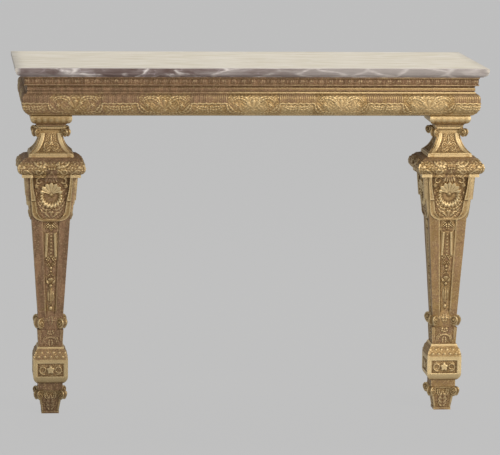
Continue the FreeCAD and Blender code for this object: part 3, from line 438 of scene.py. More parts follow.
def violet_breccia():
    """Polished violet breccia marble: purple-brown and grey-lilac clouds drawn out along the
    bed, a few centimetres across, healed by slanting white veins; the old polish gives a soft
    sheen."""
    material, add = start_nodes(bpy.data.materials.new("polished_violet_breccia_marble"))
    place = add("TexCoord", out="Object")
    tone = add("Attribute", {"attribute_name": "tone"}, "Fac")
    # the clouds lie slanting to the edge, and are three times as long as they are high
    slant = math.radians(14)
    laid = add("Mapping", Vector=place, Scale=(0.5, 1.0, 1.5), Rotation=(0.0, slant, slant))
    drift = add("TexNoise", out="Color", Vector=laid, Scale=1 / 0.07, Detail=4.0)
    bent = add("VectorMath", {"operation": "MULTIPLY_ADD"}, i0=drift, i1=(0.055, 0.055, 0.055),
               i2=laid)
    to_edge = {"feature": "DISTANCE_TO_EDGE"}
    vein = add("TexVoronoi", to_edge, "Distance", Vector=bent, Scale=1 / 0.052)
    vein = add("MapRange", SMOOTH, i0=vein, i1=0.10, i2=0.0)
    thread = add("TexVoronoi", to_edge, "Distance", Vector=bent, Scale=1 / 0.024)
    thread = add("MapRange", SMOOTH, i0=thread, i1=0.06, i2=0.0)
    clouds = add("TexNoise", Vector=bent, Scale=1 / 0.035, Detail=6.0, Roughness=0.62)
    broad = add("TexNoise", Vector=bent, Scale=1 / 0.085, Detail=3.0)
    cloudy = add("MapRange", SMOOTH, i0=clouds, i1=0.32, i2=0.68)
    body = add("Mix", COLOURS, 2, i0=cloudy, i6="#65534f", i7="#8d8180")
    broad = add("MapRange", SMOOTH, i0=broad, i1=0.52, i2=0.68)
    body = add("Mix", COLOURS, 2, i0=broad, i6=body, i7="#aca5a4")
    patchy = add("MapRange", SMOOTH, i0=clouds, i1=0.44, i2=0.62)
    white_vein = add("Math", TIMES, i0=vein, i1=patchy)
    body = add("Mix", COLOURS, 2, i0=white_vein, i6=body, i7="#e6e1df")
    thread = add("Math", TIMES, i0=thread, i1=add("Math", TIMES, i0=patchy, i1=0.45))
    body = add("Mix", COLOURS, 2, i0=thread, i6=body, i7="#c9bfc8")
    # the top is painted a pale stone colour as a sheen, with faint streaks 18 mm wide along the
    # bed; the edge is a paler lilac at the ends, towards the right and on the top arris
    along = add("Mapping", Vector=place, Scale=(0.16, 1.0, 1.0))
    streaks = add("TexNoise", Vector=along, Scale=1 / 0.018, Detail=3.0)
    streaks = add("MapRange", SMOOTH, i0=streaks, i1=0.3, i2=0.7)
    painted_sheen = add("Mix", COLOURS, 2, i0=streaks, i6="#d0c9b6", i7="#e5e0d5")
    faint_vein = add("Math", TIMES, i0=vein, i1=0.35)
    painted_sheen = add("Mix", COLOURS, 2, i0=faint_vein, i6=painted_sheen, i7="#e6e2da")
    lilac_vein = add("Math", TIMES, i0=vein, i1=0.5)
    lilac = add("Mix", COLOURS, 2, i0=lilac_vein, i6="#aaa4a2", i7="#dfdad8")
    to_lilac = add("MapRange", SMOOTH, i0=tone, i1=0.0, i2=0.5)
    body = add("Mix", COLOURS, 2, i0=to_lilac, i6=body, i7=lilac)
    to_painted_sheen = add("MapRange", SMOOTH, i0=tone, i1=0.5, i2=1.0)
    body = add("Mix", COLOURS, 2, i0=to_painted_sheen, i6=body, i7=painted_sheen)
    add("OutputMaterial", Surface=add("BsdfPrincipled", Base_Color=body, Roughness=0.46,
                                      IOR=1.45, Specular_IOR_Level=0.28))
    return material


def old_pine():
    """Sawn and planed pine, bare and browned with age: the broad figure of a plain-sawn board,
    its bands about 19 mm apart. The eye gets a dry, matt face."""
    material, add = start_nodes(bpy.data.materials.new("aged_bare_pine"))
    place = add("TexCoord", out="Object")
    drawn = add("Mapping", Vector=place, Scale=(0.12, 0.5, 1.0))
    wander = add("TexNoise", Vector=drawn, Scale=1 / 0.02, Detail=3.0)
    rings = add("TexWave", {"bands_direction": "Z"}, "Fac", Vector=drawn, Scale=1 / 0.060,
                Distortion=3.5, Detail=3.0, Detail_Scale=2.0)
    darkening = add("TexNoise", Vector=place, Scale=1 / 0.05, Detail=5.0)
    colour = add("Mix", COLOURS, 2, i0=rings, i6="#7d5c3c", i7="#9c7850")
    wander = add("MapRange", SMOOTH, i0=wander, i1=0.45, i2=0.8)
    colour = add("Mix", COLOURS, 2, i0=wander, i6=colour, i7="#6b4c30")
    darkening = add("MapRange", SMOOTH, i0=darkening, i1=0.5, i2=0.85)
    colour = add("Mix", COLOURS, 2, i0=darkening, i6=colour, i7="#4e3a28")
    bump = add("Bump", Strength=0.4, Distance=0.0006, Height=rings)
    add("OutputMaterial", Surface=add("BsdfPrincipled", Base_Color=colour, Roughness=0.78,
                                      Normal=bump))
    return material


GILDING = water_gilding()
MARBLE = violet_breccia()
PINE = old_pine()


# ---- cornice and frieze

FACE_X = 545.0     # frame's end face
FACE_Y = 180.0     # frame's front face
WALL_Y = 225.0
CORNER = 572.5     # distance of the corner from the middle, along the frieze
TILE = 221.0       # from palmette to palmette


def run(kind, end, section, carving, tone, pitch, contrast):
    """A moulding along the front or an end, mitred at the corners, with a column about every
    pitch. The carving, a function of the distances along the run from the table's middle and
    down the section, raises the section outward. A row on the frame's face closes it behind."""
    out_way = face_out(section)
    down = distance_down(section)[:, None]
    depth = WALL_Y + FACE_Y
    if end == "front":
        share = np.linspace(-1, 1, int(CORNER * 2 / pitch))[None, :]
        along = share * CORNER
    else:
        share = np.linspace(0, 1, int(depth / pitch))[None, :]
        along = CORNER - share * (depth + section[:, :1])
    along, down = np.broadcast_arrays(along, down)
    rise = carving(along, down)
    out = np.pad(section[:, :1] + rise * out_way[:, :1], ((1, 1), (0, 0)))
    z = np.pad(section[:, 1:] + rise * out_way[:, 1:], ((1, 1), (0, 0)))
    z[0], z[-1] = section[0, 1], section[-1, 1]
    if end == "front":
        points = xyz(share * (FACE_X + out), -(FACE_Y + out), z)
    else:
        side = -1 if end == "left" else 1
        points = xyz(side * (FACE_X + out), -(FACE_Y + out) + share * (depth + out), z)
    shade = np.pad(tone(along, points[1:-1, :, 0], down, rise), ((1, 1), (0, 0)), mode="edge")
    piece(f"carved_{kind}_{end}", [grid(points, shade, contrast, ROWS)], GILDING,
          "frame", [f"{kind}_{end}"])


def frieze_carving(s, p):
    """Over a ground of close leaves: broad acanthus scrolls that spring from a small palmette
    and wind round a flower, a tile apart, and midway a lambrequin of reeded cloth with a
    scalloped edge. q is the distance from the nearest palmette's middle, and far from the
    nearest lambrequin's."""
    q = np.abs(every(s, TILE))
    far = TILE / 2 - q
    palmette = fan(q, 47 - p, 25, 9, 2.6, 1.0)
    root = flower(q, 50 - p, 7, 6, 2.8)
    stem = roll(q, p, curl(4, 55, 10, 92, -340, 1.5, (3.6, 2.2)), 1.5)
    heart = flower(q - 42, p - 36, 7.0, 5, 2.8)
    acanthus = leaves(q, p, ((8, 60, 8, 46, -40, 1.2), 7.5, 2.5, 5),
                      ((46, 56, -20, 34, -75, 1.1), 8.0, 2.6),
                      ((14, 28, -62, 36, 105, 1.1), 7.5, 2.5),
                      ((34, 14, 10, 28, 60, 1.2), 6.0, 2.3))
    hung = ease((q - 64) / 2)
    hem = 30 + 2.2 * np.abs(np.cos(np.pi * far / 15))
    cloth = (0.5 + 0.9 * np.abs(np.cos(np.pi * q / 5.2))) * hung * within(p, 3.0, hem, 1.5)
    edge_line = strap(p - hem - 1.0, 2.4, 2.3) * hung
    below = leaves(far, p, ((2, 44, 10, 34, -50, 1.2), 7.0, 2.5, 5),
                   ((0.5, 38, 89, 22, 6, 1.0), 7.0, 2.6, 3))
    bud = flower(far - 30, p - 50, 5.5, 5, 2.4)
    edge = strap(p - 1.0, 2.0, 1.5)
    line = strap(p - 66.0, 1.0, 1.4) + strap(p - 75, 8.0, 1.1)
    close = foliage(q, p, 3.0, 1.1) * within(p, 4, 64, 2, 1.5) * (cloth < 0.1)
    over = highest(palmette, root, stem, heart, acanthus, cloth, edge_line, below, bud, edge,
                   line, close)
    return 0.8 * (over - 1.6)


def cornice_carving(s, p):
    """On the band under the top fillet: oval leaves a few centimetres apart with a dart
    between, over a ground of close leaves; the rest is plain."""
    q = every(s, TILE / 9)
    oval = pearl(q / 7.4, (p - 13.0) / 5.6, 1.0, 2.0)
    groove = 0.9 * np.exp(-(q / 0.9) ** 2) * (oval > 0.3)
    rim = roll(np.abs(q), p, curl(0, 19.6, 0, 27, -176, 1.0, (1.3, 1.3)), 0.9)
    dart = 1.3 * ease((2.6 - np.abs(TILE / 18 - np.abs(q)) - np.abs(p - 13) * 0.25) / 1.5)
    close = foliage(s, p, 1.9, 0.5)
    ground = (p > 6.0) & (p < 20.8)
    over = highest(oval - groove, rim, dart, close)
    return np.where(ground, -1.4 + over, 0.0)


def frieze_tone(s, x, p, rise):
    """The left end is more worn than the right; round each palmette and under the cloth's hem
    the leaf has lasted, and the reeded cloth and the top edge are rubbed."""
    q = np.abs(every(s, TILE))
    cloth = ease((q - 62) / 3) * ease((31 - p) / 1.5)
    kept = np.exp(-((q - 10) / 34) ** 2) * ease((p - 8) / 10)
    below = ease((q - 66) / 8) * ease((p - 34) / 3)
    wear = 0.50 - 0.32 * ease((x + 520) / 760)
    leafed = np.maximum(wear - 0.2 * kept - 0.18 * below, 0.08)
    return leafed + 0.22 * cloth + 0.2 * ease((9 - p) / 5)


def cornice_tone(s, x, p, rise):
    """The band is rubbed to the bole, less so on its ovals; the lip under the band, the middle
    fillet and the lowest one keep their leaf, most at the right."""
    to_right = ease((x + 350) / 650)
    lip = within(p, 21.8, 24.8, 0.6)
    fillet = within(p, 37, 46, 1.5)
    lowest = ease((p - 49.5) / 1.5)
    top_fillet = ease((6.5 - p) / 1) * ease(x / 350)
    oval = ease((rise - 0.1) / 0.5) * (p > 6) * (p < 21)
    kept = (0.55 * oval + 0.3 * lip + 0.28 * top_fillet
            + (0.3 + 0.45 * to_right) * fillet + (0.2 + 0.5 * to_right) * lowest)
    return 1.08 - 0.12 * ease((x + 200) / 700) - kept


CORNICE_SECTION = outline([
    (22.5, 858), (24, 857), (24, 852.8), (22.4, 852.3), (22.4, 838.6), (23.2, 838), (23.2, 836),
    (21.5, 835.3), (13.2, 829.8, HOLLOW), (14.8, 829.3), (14.8, 822.3), (12.8, 821.6),
    (12.8, 819.8), (15.5, 819.4), (15.5, 816)], 0.75)
FRIEZE_SECTION = outline([
    (14.5, 816), (27.5, 803, BULGE), (27.5, 786), (5, 758, BULGE)], 0.85)

for side in ("front", "left", "right"):
    run("frieze", side, FRIEZE_SECTION, frieze_carving, frieze_tone, 1.25, 0.62)
    run("cornice", side, CORNICE_SECTION, cornice_carving, cornice_tone, 1.5, 0.95)


# ---- leg blocks

LEG_AXIS = (500.0, -135.0)
RIGHT_TONE = 0.62    # the right leg's tone as a share of the left's: it has kept more leaf


def turn_face(points, quarter):
    """The front face's points (x, out, z) stood on one of the four faces of a leg."""
    x, out, z = np.moveaxis(points, -1, 0)
    return xyz(*((x, -out), (out, x), (-x, out), (-out, -x))[quarter], z)


def on_each_face(points, tone, contrast=1.0):
    """Four grids alike, one on each face of a leg."""
    return [grid(turn_face(points, quarter), tone, contrast) for quarter in range(4)]


def round_the_leg(face, tone, contrast):
    """One grid that goes round the leg, its four faces alike."""
    points = np.concatenate([turn_face(face, quarter) for quarter in range(4)], axis=1)
    return grid(points, np.tile(tone, 4), np.tile(contrast, 4)[..., None])


def leg_pieces(name, grids, right_tone=RIGHT_TONE):
    """The same piece, made on a leg's axis, under the left and the right post."""
    for side, label, share in ((-1, "left", 1.0), (1, "right", right_tone)):
        axis = np.array([LEG_AXIS[0] * side, LEG_AXIS[1], 0])
        own = [dict(one, points=one["points"] + axis, tone=one["tone"] * share) for one in grids]
        piece(f"carved_{label}_leg_{name}", own, GILDING, "frame",
              [f"{label}_leg_{name}"])


def block(name, corners, carving, tone, step=0.9, columns=64, contrast=1.0):
    """A square-turned block of a leg: one face, from mitre to mitre, four times round. Carving is
    a function of x, z and the distances from the face's middle line (side) and its nearer mitre
    (edge), and tone of z, these two and the carving's rise. Contrast is less at the mitres."""
    section = outline(corners, step)
    out_way = face_out(section)
    across = np.linspace(-1, 1, columns + 1)[None, :-1]
    half, z = section[:, :1], section[:, 1:]
    x, z, half = np.broadcast_arrays(across * half, z, half)
    side = np.abs(x)
    edge = half - side
    rise = carving(x, z, side, edge)
    out = half + rise * out_way[:, :1]
    face = xyz(across * out, out, z + rise * out_way[:, 1:])
    quiet = contrast * (0.35 + 0.65 * ease((edge - 1) / 3))
    leg_pieces(name, [round_the_leg(face, tone(z, side, edge, rise), quiet)])


def capital_carving(x, z, side, edge):
    """Very shallow leaf tips on the ovolo and a low beading on the bead."""
    tips = 0.5 * np.abs(np.cos(np.pi * x / 15)) ** 0.6 * within(z, 740, 755, 1.5, 2)
    close = foliage(x, z, 2.2, 0.3) * (z < 756)
    pearls = pearl(every(x, 5.0), z - 725.5, 3.6, 0.7)
    bead = (z < 730) & (z > 721)
    return np.where(z > 738, highest(tips, close), 0) + np.where(bead, pearls - 0.6, 0)


def neck_carving(x, z, side, edge):
    """Broad straps down each side of a sunk panel of close leaves with a flower in it."""
    panel = ease((edge - 13.5) / 1.4) * ease((z - 667) / 2)
    bevel = -1.2 * ease((4.5 - edge) / 1.5) * (z > 664)
    bloom = flower(x, z - 690, 7, 5, 3.0)
    stem = roll(side, z, np.array([(0, 708, 1.6), (0, 697, 2.0)]), 2.0)
    petals = leaf(side, z, (1, 681, -50, 26, 60, 1.2), 5.0, 2.0)
    curls = roll(side, z, curl(6, 672, 12, 34, 230, 1.6, (1.6, 1.2)), 1.7)
    over = highest(bloom, stem, petals, curls, foliage(x, z, 1.9, 0.9))
    return panel * (-2.2 + over) + bevel


def shoulder_carving(x, z, side, edge):
    """Acanthus that wraps each corner, C-scrolls and leaf wings beside it, and in a dark recess
    in the middle a coronet of pearls, over a fluted palm leaf that runs down to the shell. The
    lower fillet shows at the sides only."""
    belt = ease((652 - z) / 5) * np.maximum(ease((z - 613.5) / 1.2), side < 46)
    corner = fan(edge, z - 612, 30, 11, 2.2, 1.3)
    corner_leaf = leaf(edge, z, (2, 615, 60, 26, 70, 1.2), 6.0, 2.5, 5)
    corner_curl = roll(edge, z, curl(28, 617, 110, 34, 290, 1.6, (2.6, 1.6)), 2.4)
    scroll = roll(side, z, curl(42, 645, -125, 46, -250, 1.7, (3.4, 2.0)), 3.0)
    wing = leaf(side, z, (9, 632, 42, 36, -70, 1.2), 9.0, 3.3)
    low_curl = roll(side, z, curl(22, 622, -60, 34, 300, 1.6, (2.6, 1.7)), 2.6)
    recess = 2.4 * ease((14 - side) / 2) * within(z, 610, 639, 2)
    pearls = pearl(every(x, 6.4), z - 629.5, 3.2, 4.2) * (side < 11)
    palm = fan(x, 624 - z, 34, 31, 2.2, 0.62)
    close = foliage(x, z, 2.6, 1.1)
    over = highest(corner, corner_leaf, corner_curl, scroll, wing, low_curl, close)
    over = highest(over - recess, pearls, palm)
    return belt * (-1.4 + over) + 0.8 * ease((side - 46) / 1.5) * ease((614 - z) / 1.0)


def plinth_carving(x, z, side, edge):
    """On the waist an arched leaf in a sunk field between two more under a small hanging leaf,
    on the dome two rows of fluted leaf tips under a plain fillet, on the block a sunk tablet
    with a star between scrolls in a plain frame, and on the toe a plain swelling."""
    field = ease((edge - 6.5) / 1.6) * within(z, 174, 217, 1.5)
    arch = roll(side, z, curl(0, 197, 0, 34, -84, 0.9, (3.4, 2.6)), 1.9)
    waist = leaves(side, z, ((0.5, 175, 88, 19, 10, 1.0), 7.5, 2.4, 3),
                   ((0.5, 219, -84, 20, 26, 1.0), 7.0, 2.4, 3),
                   ((19, 178, 96, 28, 40, 1.1), 5.0, 2.3))
    waist = field * (-1.7 + highest(arch, waist, foliage(x, z, 2.0, 0.7)))
    q = np.abs(every(x, 15))
    tips = highest(fan(q, z - 143, 9, 5, 1.7, 0.9), fan(7.5 - q, z - 156, 7, 5, 1.6, 0.9))
    dome = within(z, 143.5, 167.5, 1.2) * (-1.2 + highest(tips, foliage(side, z, 2.4, 0.5)))
    tablet = ease(33.5 - side) * within(z, 98.5, 132, 1.0)
    y = z - 115.0
    star = np.hypot(x, y) * (1 + 0.5 * (1 - np.abs(np.cos(np.arctan2(x, y) * 2.5))))
    star = 3.0 * ease((14.0 - star) / 6.0)
    scroll = roll(side, y, curl(17, -11, 8, 54, 380, 1.3, (2.2, 1.6)), 2.3)
    sprig = leaf(side, y, (16, 12, -15, 16, -30, 1.0), 3.4, 2.0, 3)
    tablet = tablet * (-2.8 + highest(star, scroll, sprig, foliage(x, z, 1.8, 0.8)))
    return waist + dome + tablet


def foot_carving(x, z, side, edge):
    """A broad leaf on each face with two smaller ones at its shoulders, within a plain edge."""
    field = ease((edge - 3.5) / 1.2) * within(z, 6.0, 58, 1.5, 2)
    three = leaves(side, z, ((0.4, 8, 89, 42, 3, 1.0), 12.0, 2.6),
                   ((8, 38, 62, 22, 40, 1.1), 5.5, 2.8, 3))
    return field * (-1.7 + highest(three, foliage(x, z, 1.9, 0.8)))


def capital_tone(z, side, edge, rise):
    """Bright on the ovolo's swelling and rubbed under it."""
    return 0.12 + 0.35 * ease((746 - z) / 7) * (z > 730)


def neck_tone(z, side, edge, rise):
    """Straps with a burnish and a painted highlight, a rubbed panel and corners, and a bright lower
    fillet.
    """
    strapped = within(edge, 3.5, 14.5, 1.5, 2)
    panel = 0.12 * ease((edge - 15) / 2)
    return 0.30 - panel - 0.30 * np.maximum(strapped * (z > 664), 0.4 * (z < 663))


def shoulder_tone(z, side, edge, rise):
    """Rubbed on its upper slope and in the middle, bright on the wings and the fillet."""
    middle = ease((16 - side) / 4) * ease((630 - z) / 4)
    wings = np.exp(-((side - 26) / 12) ** 2) * ease((644 - z) / 4)
    fillet = ease(614.5 - z) * (side > 46)
    return 0.36 + 0.3 * ease((z - 640) / 8) + 0.25 * middle - 0.26 * wings - 0.34 * fillet


def plinth_tone(z, side, edge, rise):
    """Bright on the block's frame and the dome's fillet, browner in the tablet, and rubbed on
    the dome and the waist, most in the middle of the waist."""
    on_block = within(z, 81, 142.5, 2, 1.5)
    bright = np.maximum(on_block * (rise > -0.5), within(z, 167, 174, 1))
    tablet = on_block * (rise <= -0.5)
    dome = within(z, 142.5, 167, 1.5, 1)
    waist = ease((z - 174) / 2) * ease((20 - side) / 6) * (rise < -0.6)
    return 0.56 - 0.54 * bright - 0.26 * tablet - 0.22 * dome + 0.16 * waist


def foot_tone(z, side, edge, rise):
    """The leaf's middle is rubbed to the bole, its tips and the edges less."""
    middle = ease((15 - side) / 5) * ease((42 - z) / 4)
    return 0.46 + 0.22 * middle - 0.2 * ease((z - 44) / 6) * (z < 60)


block("capital", [
    (50.5, 757.6), (51.5, 756.4), (51.5, 751), (43, 738, BULGE), (35.5, 730, HOLLOW), (29.5, 730),
    (29.5, 721, BULGE, 3, 4.5), (27.5, 721), (27.5, 713)], capital_carving, capital_tone, 0.8)
block("neck", [(30, 713), (55, 664, HOLLOW), (55, 660), (56, 660), (56, 655)],
      neck_carving, neck_tone)
block("shoulder", [
    (56, 655), (66, 652.5), (76, 646), (81, 639.5), (84, 631), (83.2, 624), (80, 618.5), (74, 614),
    (72, 614), (72, 606)], shoulder_carving, shoulder_tone, 0.8, 120, 0.75)
block("plinth", [
    (32.5, 216), (30, 173), (33, 172), (33.4, 169), (43.5, 142, BULGE), (43.5, 99),
    (33, 80, BULGE), (31, 80), (31, 62)], plinth_carving, plinth_tone, 0.85, 64, 0.72)
block("foot", [(29, 62), (27.5, 41), (21, 5), (22, 5), (22, 0)],
      foot_carving, foot_tone, 0.85, 44, 0.85)


# ---- shaft

SHAFT_HIGH, SHAFT_LOW = 606.0, 216.0
SHAFT_WIDE, SHAFT_NARROW = 54.5, 29.0     # half its width at its top and at its foot
PANEL_HIGH, PANEL_LOW = 510.0, 238.0      # the sunk panel on each face
PANEL_RUN_OUT = 24.0                      # over this height it rises out to the face
PANEL_DEPTH = 4.0
RIGHT_SHAFT_TONE = 0.42                   # as a share of the left shaft's


def between(z, edges, counts, last=None):
    """Columns spread evenly between edges that vary from row to row, up to the last: their x,
    their levels and their distances from the middle line."""
    columns = []
    for low, high, count in zip(edges[:-1], edges[1:], counts):
        share = np.arange(count)[None, :] / count
        columns.append(low[:, None] + (high - low)[:, None] * share)
    x = np.concatenate(columns + [edges[-1][:, None]], axis=1)[:, :last]
    return x, z[:, None] + x * 0, np.abs(x)


def shaft_half(z):
    """Half the shaft's width at a level: it tapers evenly."""
    share = (z - SHAFT_LOW) / (SHAFT_HIGH - SHAFT_LOW)
    return SHAFT_NARROW + (SHAFT_WIDE - SHAFT_NARROW) * share


def make_shaft():
    """Tapering shaft with a sunk panel on each face, its sides moulded by a bevel and a bead."""
    ends = [SHAFT_HIGH, PANEL_HIGH + 1.2, PANEL_HIGH, PANEL_HIGH - 2.6,
            PANEL_LOW + PANEL_RUN_OUT, PANEL_LOW, SHAFT_LOW]
    counts = [36, 3, 4, 100, 16, 14]
    rows = [np.linspace(a, b, n, endpoint=False) for a, b, n in zip(ends, ends[1:], counts)]
    z = np.concatenate(rows + [[SHAFT_LOW]])
    half = shaft_half(z)
    window = 12.5 + np.clip(z - 256, -30, 254) * 9 / 254
    inner = window - 2.6
    edges = [-half, -window - 1.2, -window, -inner, inner, window, window + 1.2, half]
    x, down, side = between(z, edges, [14, 2, 4, 16, 4, 2, 14], -1)
    half, window = half[:, None], window[:, None]
    inset = np.minimum(window - side, PANEL_HIGH - down)
    rising = ease((down - PANEL_LOW) / PANEL_RUN_OUT)
    sunk = (0.9 * strap(inset - 1.9, 0.9, 1.0, 0.8) - PANEL_DEPTH * ease(inset + 0.2)) * rising
    collar = leaves(side, down, ((0.4, 250, -89, 25, 0, 1.0), 7.0, 2.6, 3),
                    ((2, 247, -50, 20, 60, 1.0), 4.5, 2.0, 3))
    sunk = sunk + highest(collar, foliage(x, down, 1.9, 0.7) * (down < 256) * (side < 13))
    softly = 0.12 * np.sin(down / 21) * np.sin(x / 9)
    out = half + sunk + softly * (inset < 0)
    face = xyz(x / half * out, out, down)
    tone = (0.86 - 0.35 * ease((340 - down) / 110) * (down > 262) - 0.2 * (inset > 3)
            - 0.3 * ease((inset + 0.4) / 0.5) * (inset < 2.8))
    contrast = 0.08 + 0.30 * ease((half - side - 2) / 4)
    leg_pieces("shaft", [round_the_leg(face, tone, contrast)], RIGHT_SHAFT_TONE)


make_shaft()


# ---- shields

SHIELD_STEP = 546.0      # here the plate steps back
SHIELD_TURN = 517.0      # here its sides begin to draw in to the toe
SHIELD_TOE = 494.0


def plated(front, half, base, z):
    """The columns of an applied ornament, closed behind by two that lie under the face."""
    back = xyz(np.stack([half, -half], axis=1), (base - 0.4)[:, None], z[:, None])
    return np.concatenate([front, back], axis=1)


def shield_half(z):
    """Half the width of a shield: it keeps just inside the shaft's edge down to the turn, and a
    quarter of an ellipse, 31 mm by 23 mm, then draws it in to its toe."""
    straight = np.minimum(53.0, shaft_half(z) - 0.4)
    fallen = (SHIELD_TURN - z) / (SHIELD_TURN - SHIELD_TOE)
    swept = 17 + 31 * half_round(fallen)
    return np.where(z > SHIELD_TURN, straight, np.minimum(swept, straight))


def shield_field_half(z):
    """Half the width of the sunk field between the shield's straps."""
    return np.interp(z, [494, 498.9, 499, 501, 504, 509, 517, 545, 575, 606],
                     [0.4, 0.4, 12, 20, 26, 30, 34.5, 38, 44, 47])


def shield_field(x, z):
    """Carving of the sunk field round the shell: flowers and curled leaves at its sides, a low
    fluted palm leaf above and a low palmette below. Heights are over the field's floor."""
    side = np.abs(x)
    side_flower = flower(side - 37, z - 583, 7.5, 5, 7.0)
    high_curl = roll(side, z, curl(28, 606, -20, 30, -230, 1.5, (3.0, 2.0)), 4.6)
    low_curl = roll(side, z, curl(37, 566, -96, 26, 210, 1.6, (2.6, 1.6)), 3.4)
    low_leaves = leaves(side, z, ((33, 552, -100, 34, -60, 1.2), 5.5, 2.6),
                        ((2, 522, -30, 30, 110, 1.2), 7.5, 2.8, 3))
    palmette = fan(x, z - 500, 20, 7, 3.0, 1.0)
    palm = fan(x, 625 - z, 36, 31, 3.6, 0.62) * (z > 588)
    close = foliage(x, z, 2.4, 1.2)
    return highest(side_flower, high_curl, low_curl, low_leaves, palmette, palm, close)


def make_shields():
    """On each face of the shaft a plate: a strap round a sunk field, drawn in to a toe where
    the two straps end in small volutes. At its step the plate loses nearly half its thickness."""
    z = np.concatenate([np.linspace(SHAFT_HIGH, SHIELD_STEP + 0.6, 64),
                        np.linspace(SHIELD_STEP, SHIELD_TOE, 62)])
    half, inner, base = shield_half(z), shield_field_half(z), shaft_half(z)
    plate = np.where(z > SHIELD_STEP + 0.3, 11 + (z - SHIELD_STEP) / 60,
                     4 + 2.5 * (z - SHIELD_TOE) / (SHIELD_STEP - SHIELD_TOE))
    edges = [-half, -half + 1.0, -inner - 1.1, -inner, inner, inner + 1.1, half - 1.0, half]
    x, down, side = between(z, edges, [2, 9, 2, 52, 2, 9, 2])
    to_edge = half[:, None] - side
    inside = ease((inner[:, None] - side) / 1.1) * ease((down - 499) / 2)
    middle = (half + inner)[:, None] / 2
    dish = -0.3 * ease((4.6 - np.abs(side - middle)) / 3.5) * (down > 508)
    toe = roll(side, down, curl(30, 509, 235, 32, -290, 1.5, (3.4, 1.8)), 2.6) * (down < 512)
    rounded = -1.6 * ease(1.0 - to_edge)
    carved = 2.5 + shield_field(x, down)
    strapped = plate[:, None] + dish + toe + rounded
    out = base[:, None] + inside * carved + (1 - inside) * strapped
    palm_zone = ease((22 - side) / 4) * ease((down - 586) / 4)
    tone = 0.18 + inside * (0.34 * ((carved < 6.5) | (palm_zone > 0.5)) + 0.2 * palm_zone)
    # the plate's outer sides, in the notch at each corner, are painted darker as shade
    tone = np.where(to_edge < 0.6, 0.6, tone)
    # the closing columns under the face carry that painted shade down the sides
    tone = np.pad(tone, ((0, 0), (0, 2)), constant_values=0.8)
    shield = plated(xyz(x, out, down), half, base, z)
    leg_pieces("strapwork", on_each_face(shield, tone, 0.8))


make_shields()


def make_shells():
    """Scallop shell on each shield, round its hinge: below, a dished bowl whose ribs run out to
    a toothed rim; above, a fan of rounded lobes that curls forward. Columns are angles, and rows
    are shares of the way from the hinge to the edge, below a circle round a lower point."""
    hinge = 563.0
    bowl_radius, bowl_drop = 29.5, 7.5     # the bowl's round edge and how far below the hinge it is
    fan_reach, fan_lobes, bowl_ribs = 30, 14, 22
    angle = np.linspace(-math.pi, math.pi, 200, endpoint=False)[None, :]
    share = np.concatenate([[0.03], np.linspace(0.08, 0.9, 24), [0.94, 0.97, 1.0, 1.0, 0.99]])
    fall = np.concatenate([np.zeros(25), [0.0, 0.06, 0.22, 0.6, 1.0]])
    share, fall = share[:, None], fall[:, None]
    upward = ease((np.cos(angle) - 0.02) / 0.3)
    lobes = np.abs(np.cos(angle * fan_lobes / 2))
    low_lobes = np.abs(np.cos((angle - math.pi) * bowl_ribs / 2))
    toward = -bowl_drop * np.cos(angle)
    bowl = toward + np.sqrt(toward ** 2 - bowl_drop ** 2 + bowl_radius ** 2)
    crest = fan_reach * (0.84 + 0.16 * lobes)
    away = share * (bowl * (0.91 + 0.10 * low_lobes) * (1 - upward) + crest * upward)
    knob = 6.0 * np.exp(-(away / 6.0) ** 2)
    rim = np.exp(-((share - 0.84) / 0.17) ** 2)
    dished = 1.0 + 0.9 * share + rim * (2.6 + 3.6 * np.sqrt(low_lobes))
    curled = 4.2 + 4.4 * share ** 1.2 + 3.6 * share * (np.sqrt(lobes) - 0.5)
    height = np.maximum(dished * (1 - upward) + curled * upward, knob) * (1 - fall) - 0.6 * fall
    x = away * np.sin(angle)
    z = hinge + away * np.cos(angle)
    tone = 0.42 * np.exp(-((share - 0.4) / 0.22) ** 2) * (1 - upward)
    leg_pieces("shells", on_each_face(xyz(x, shaft_half(z) + 2.5 + height, z), tone))


make_shells()


# ---- pendants

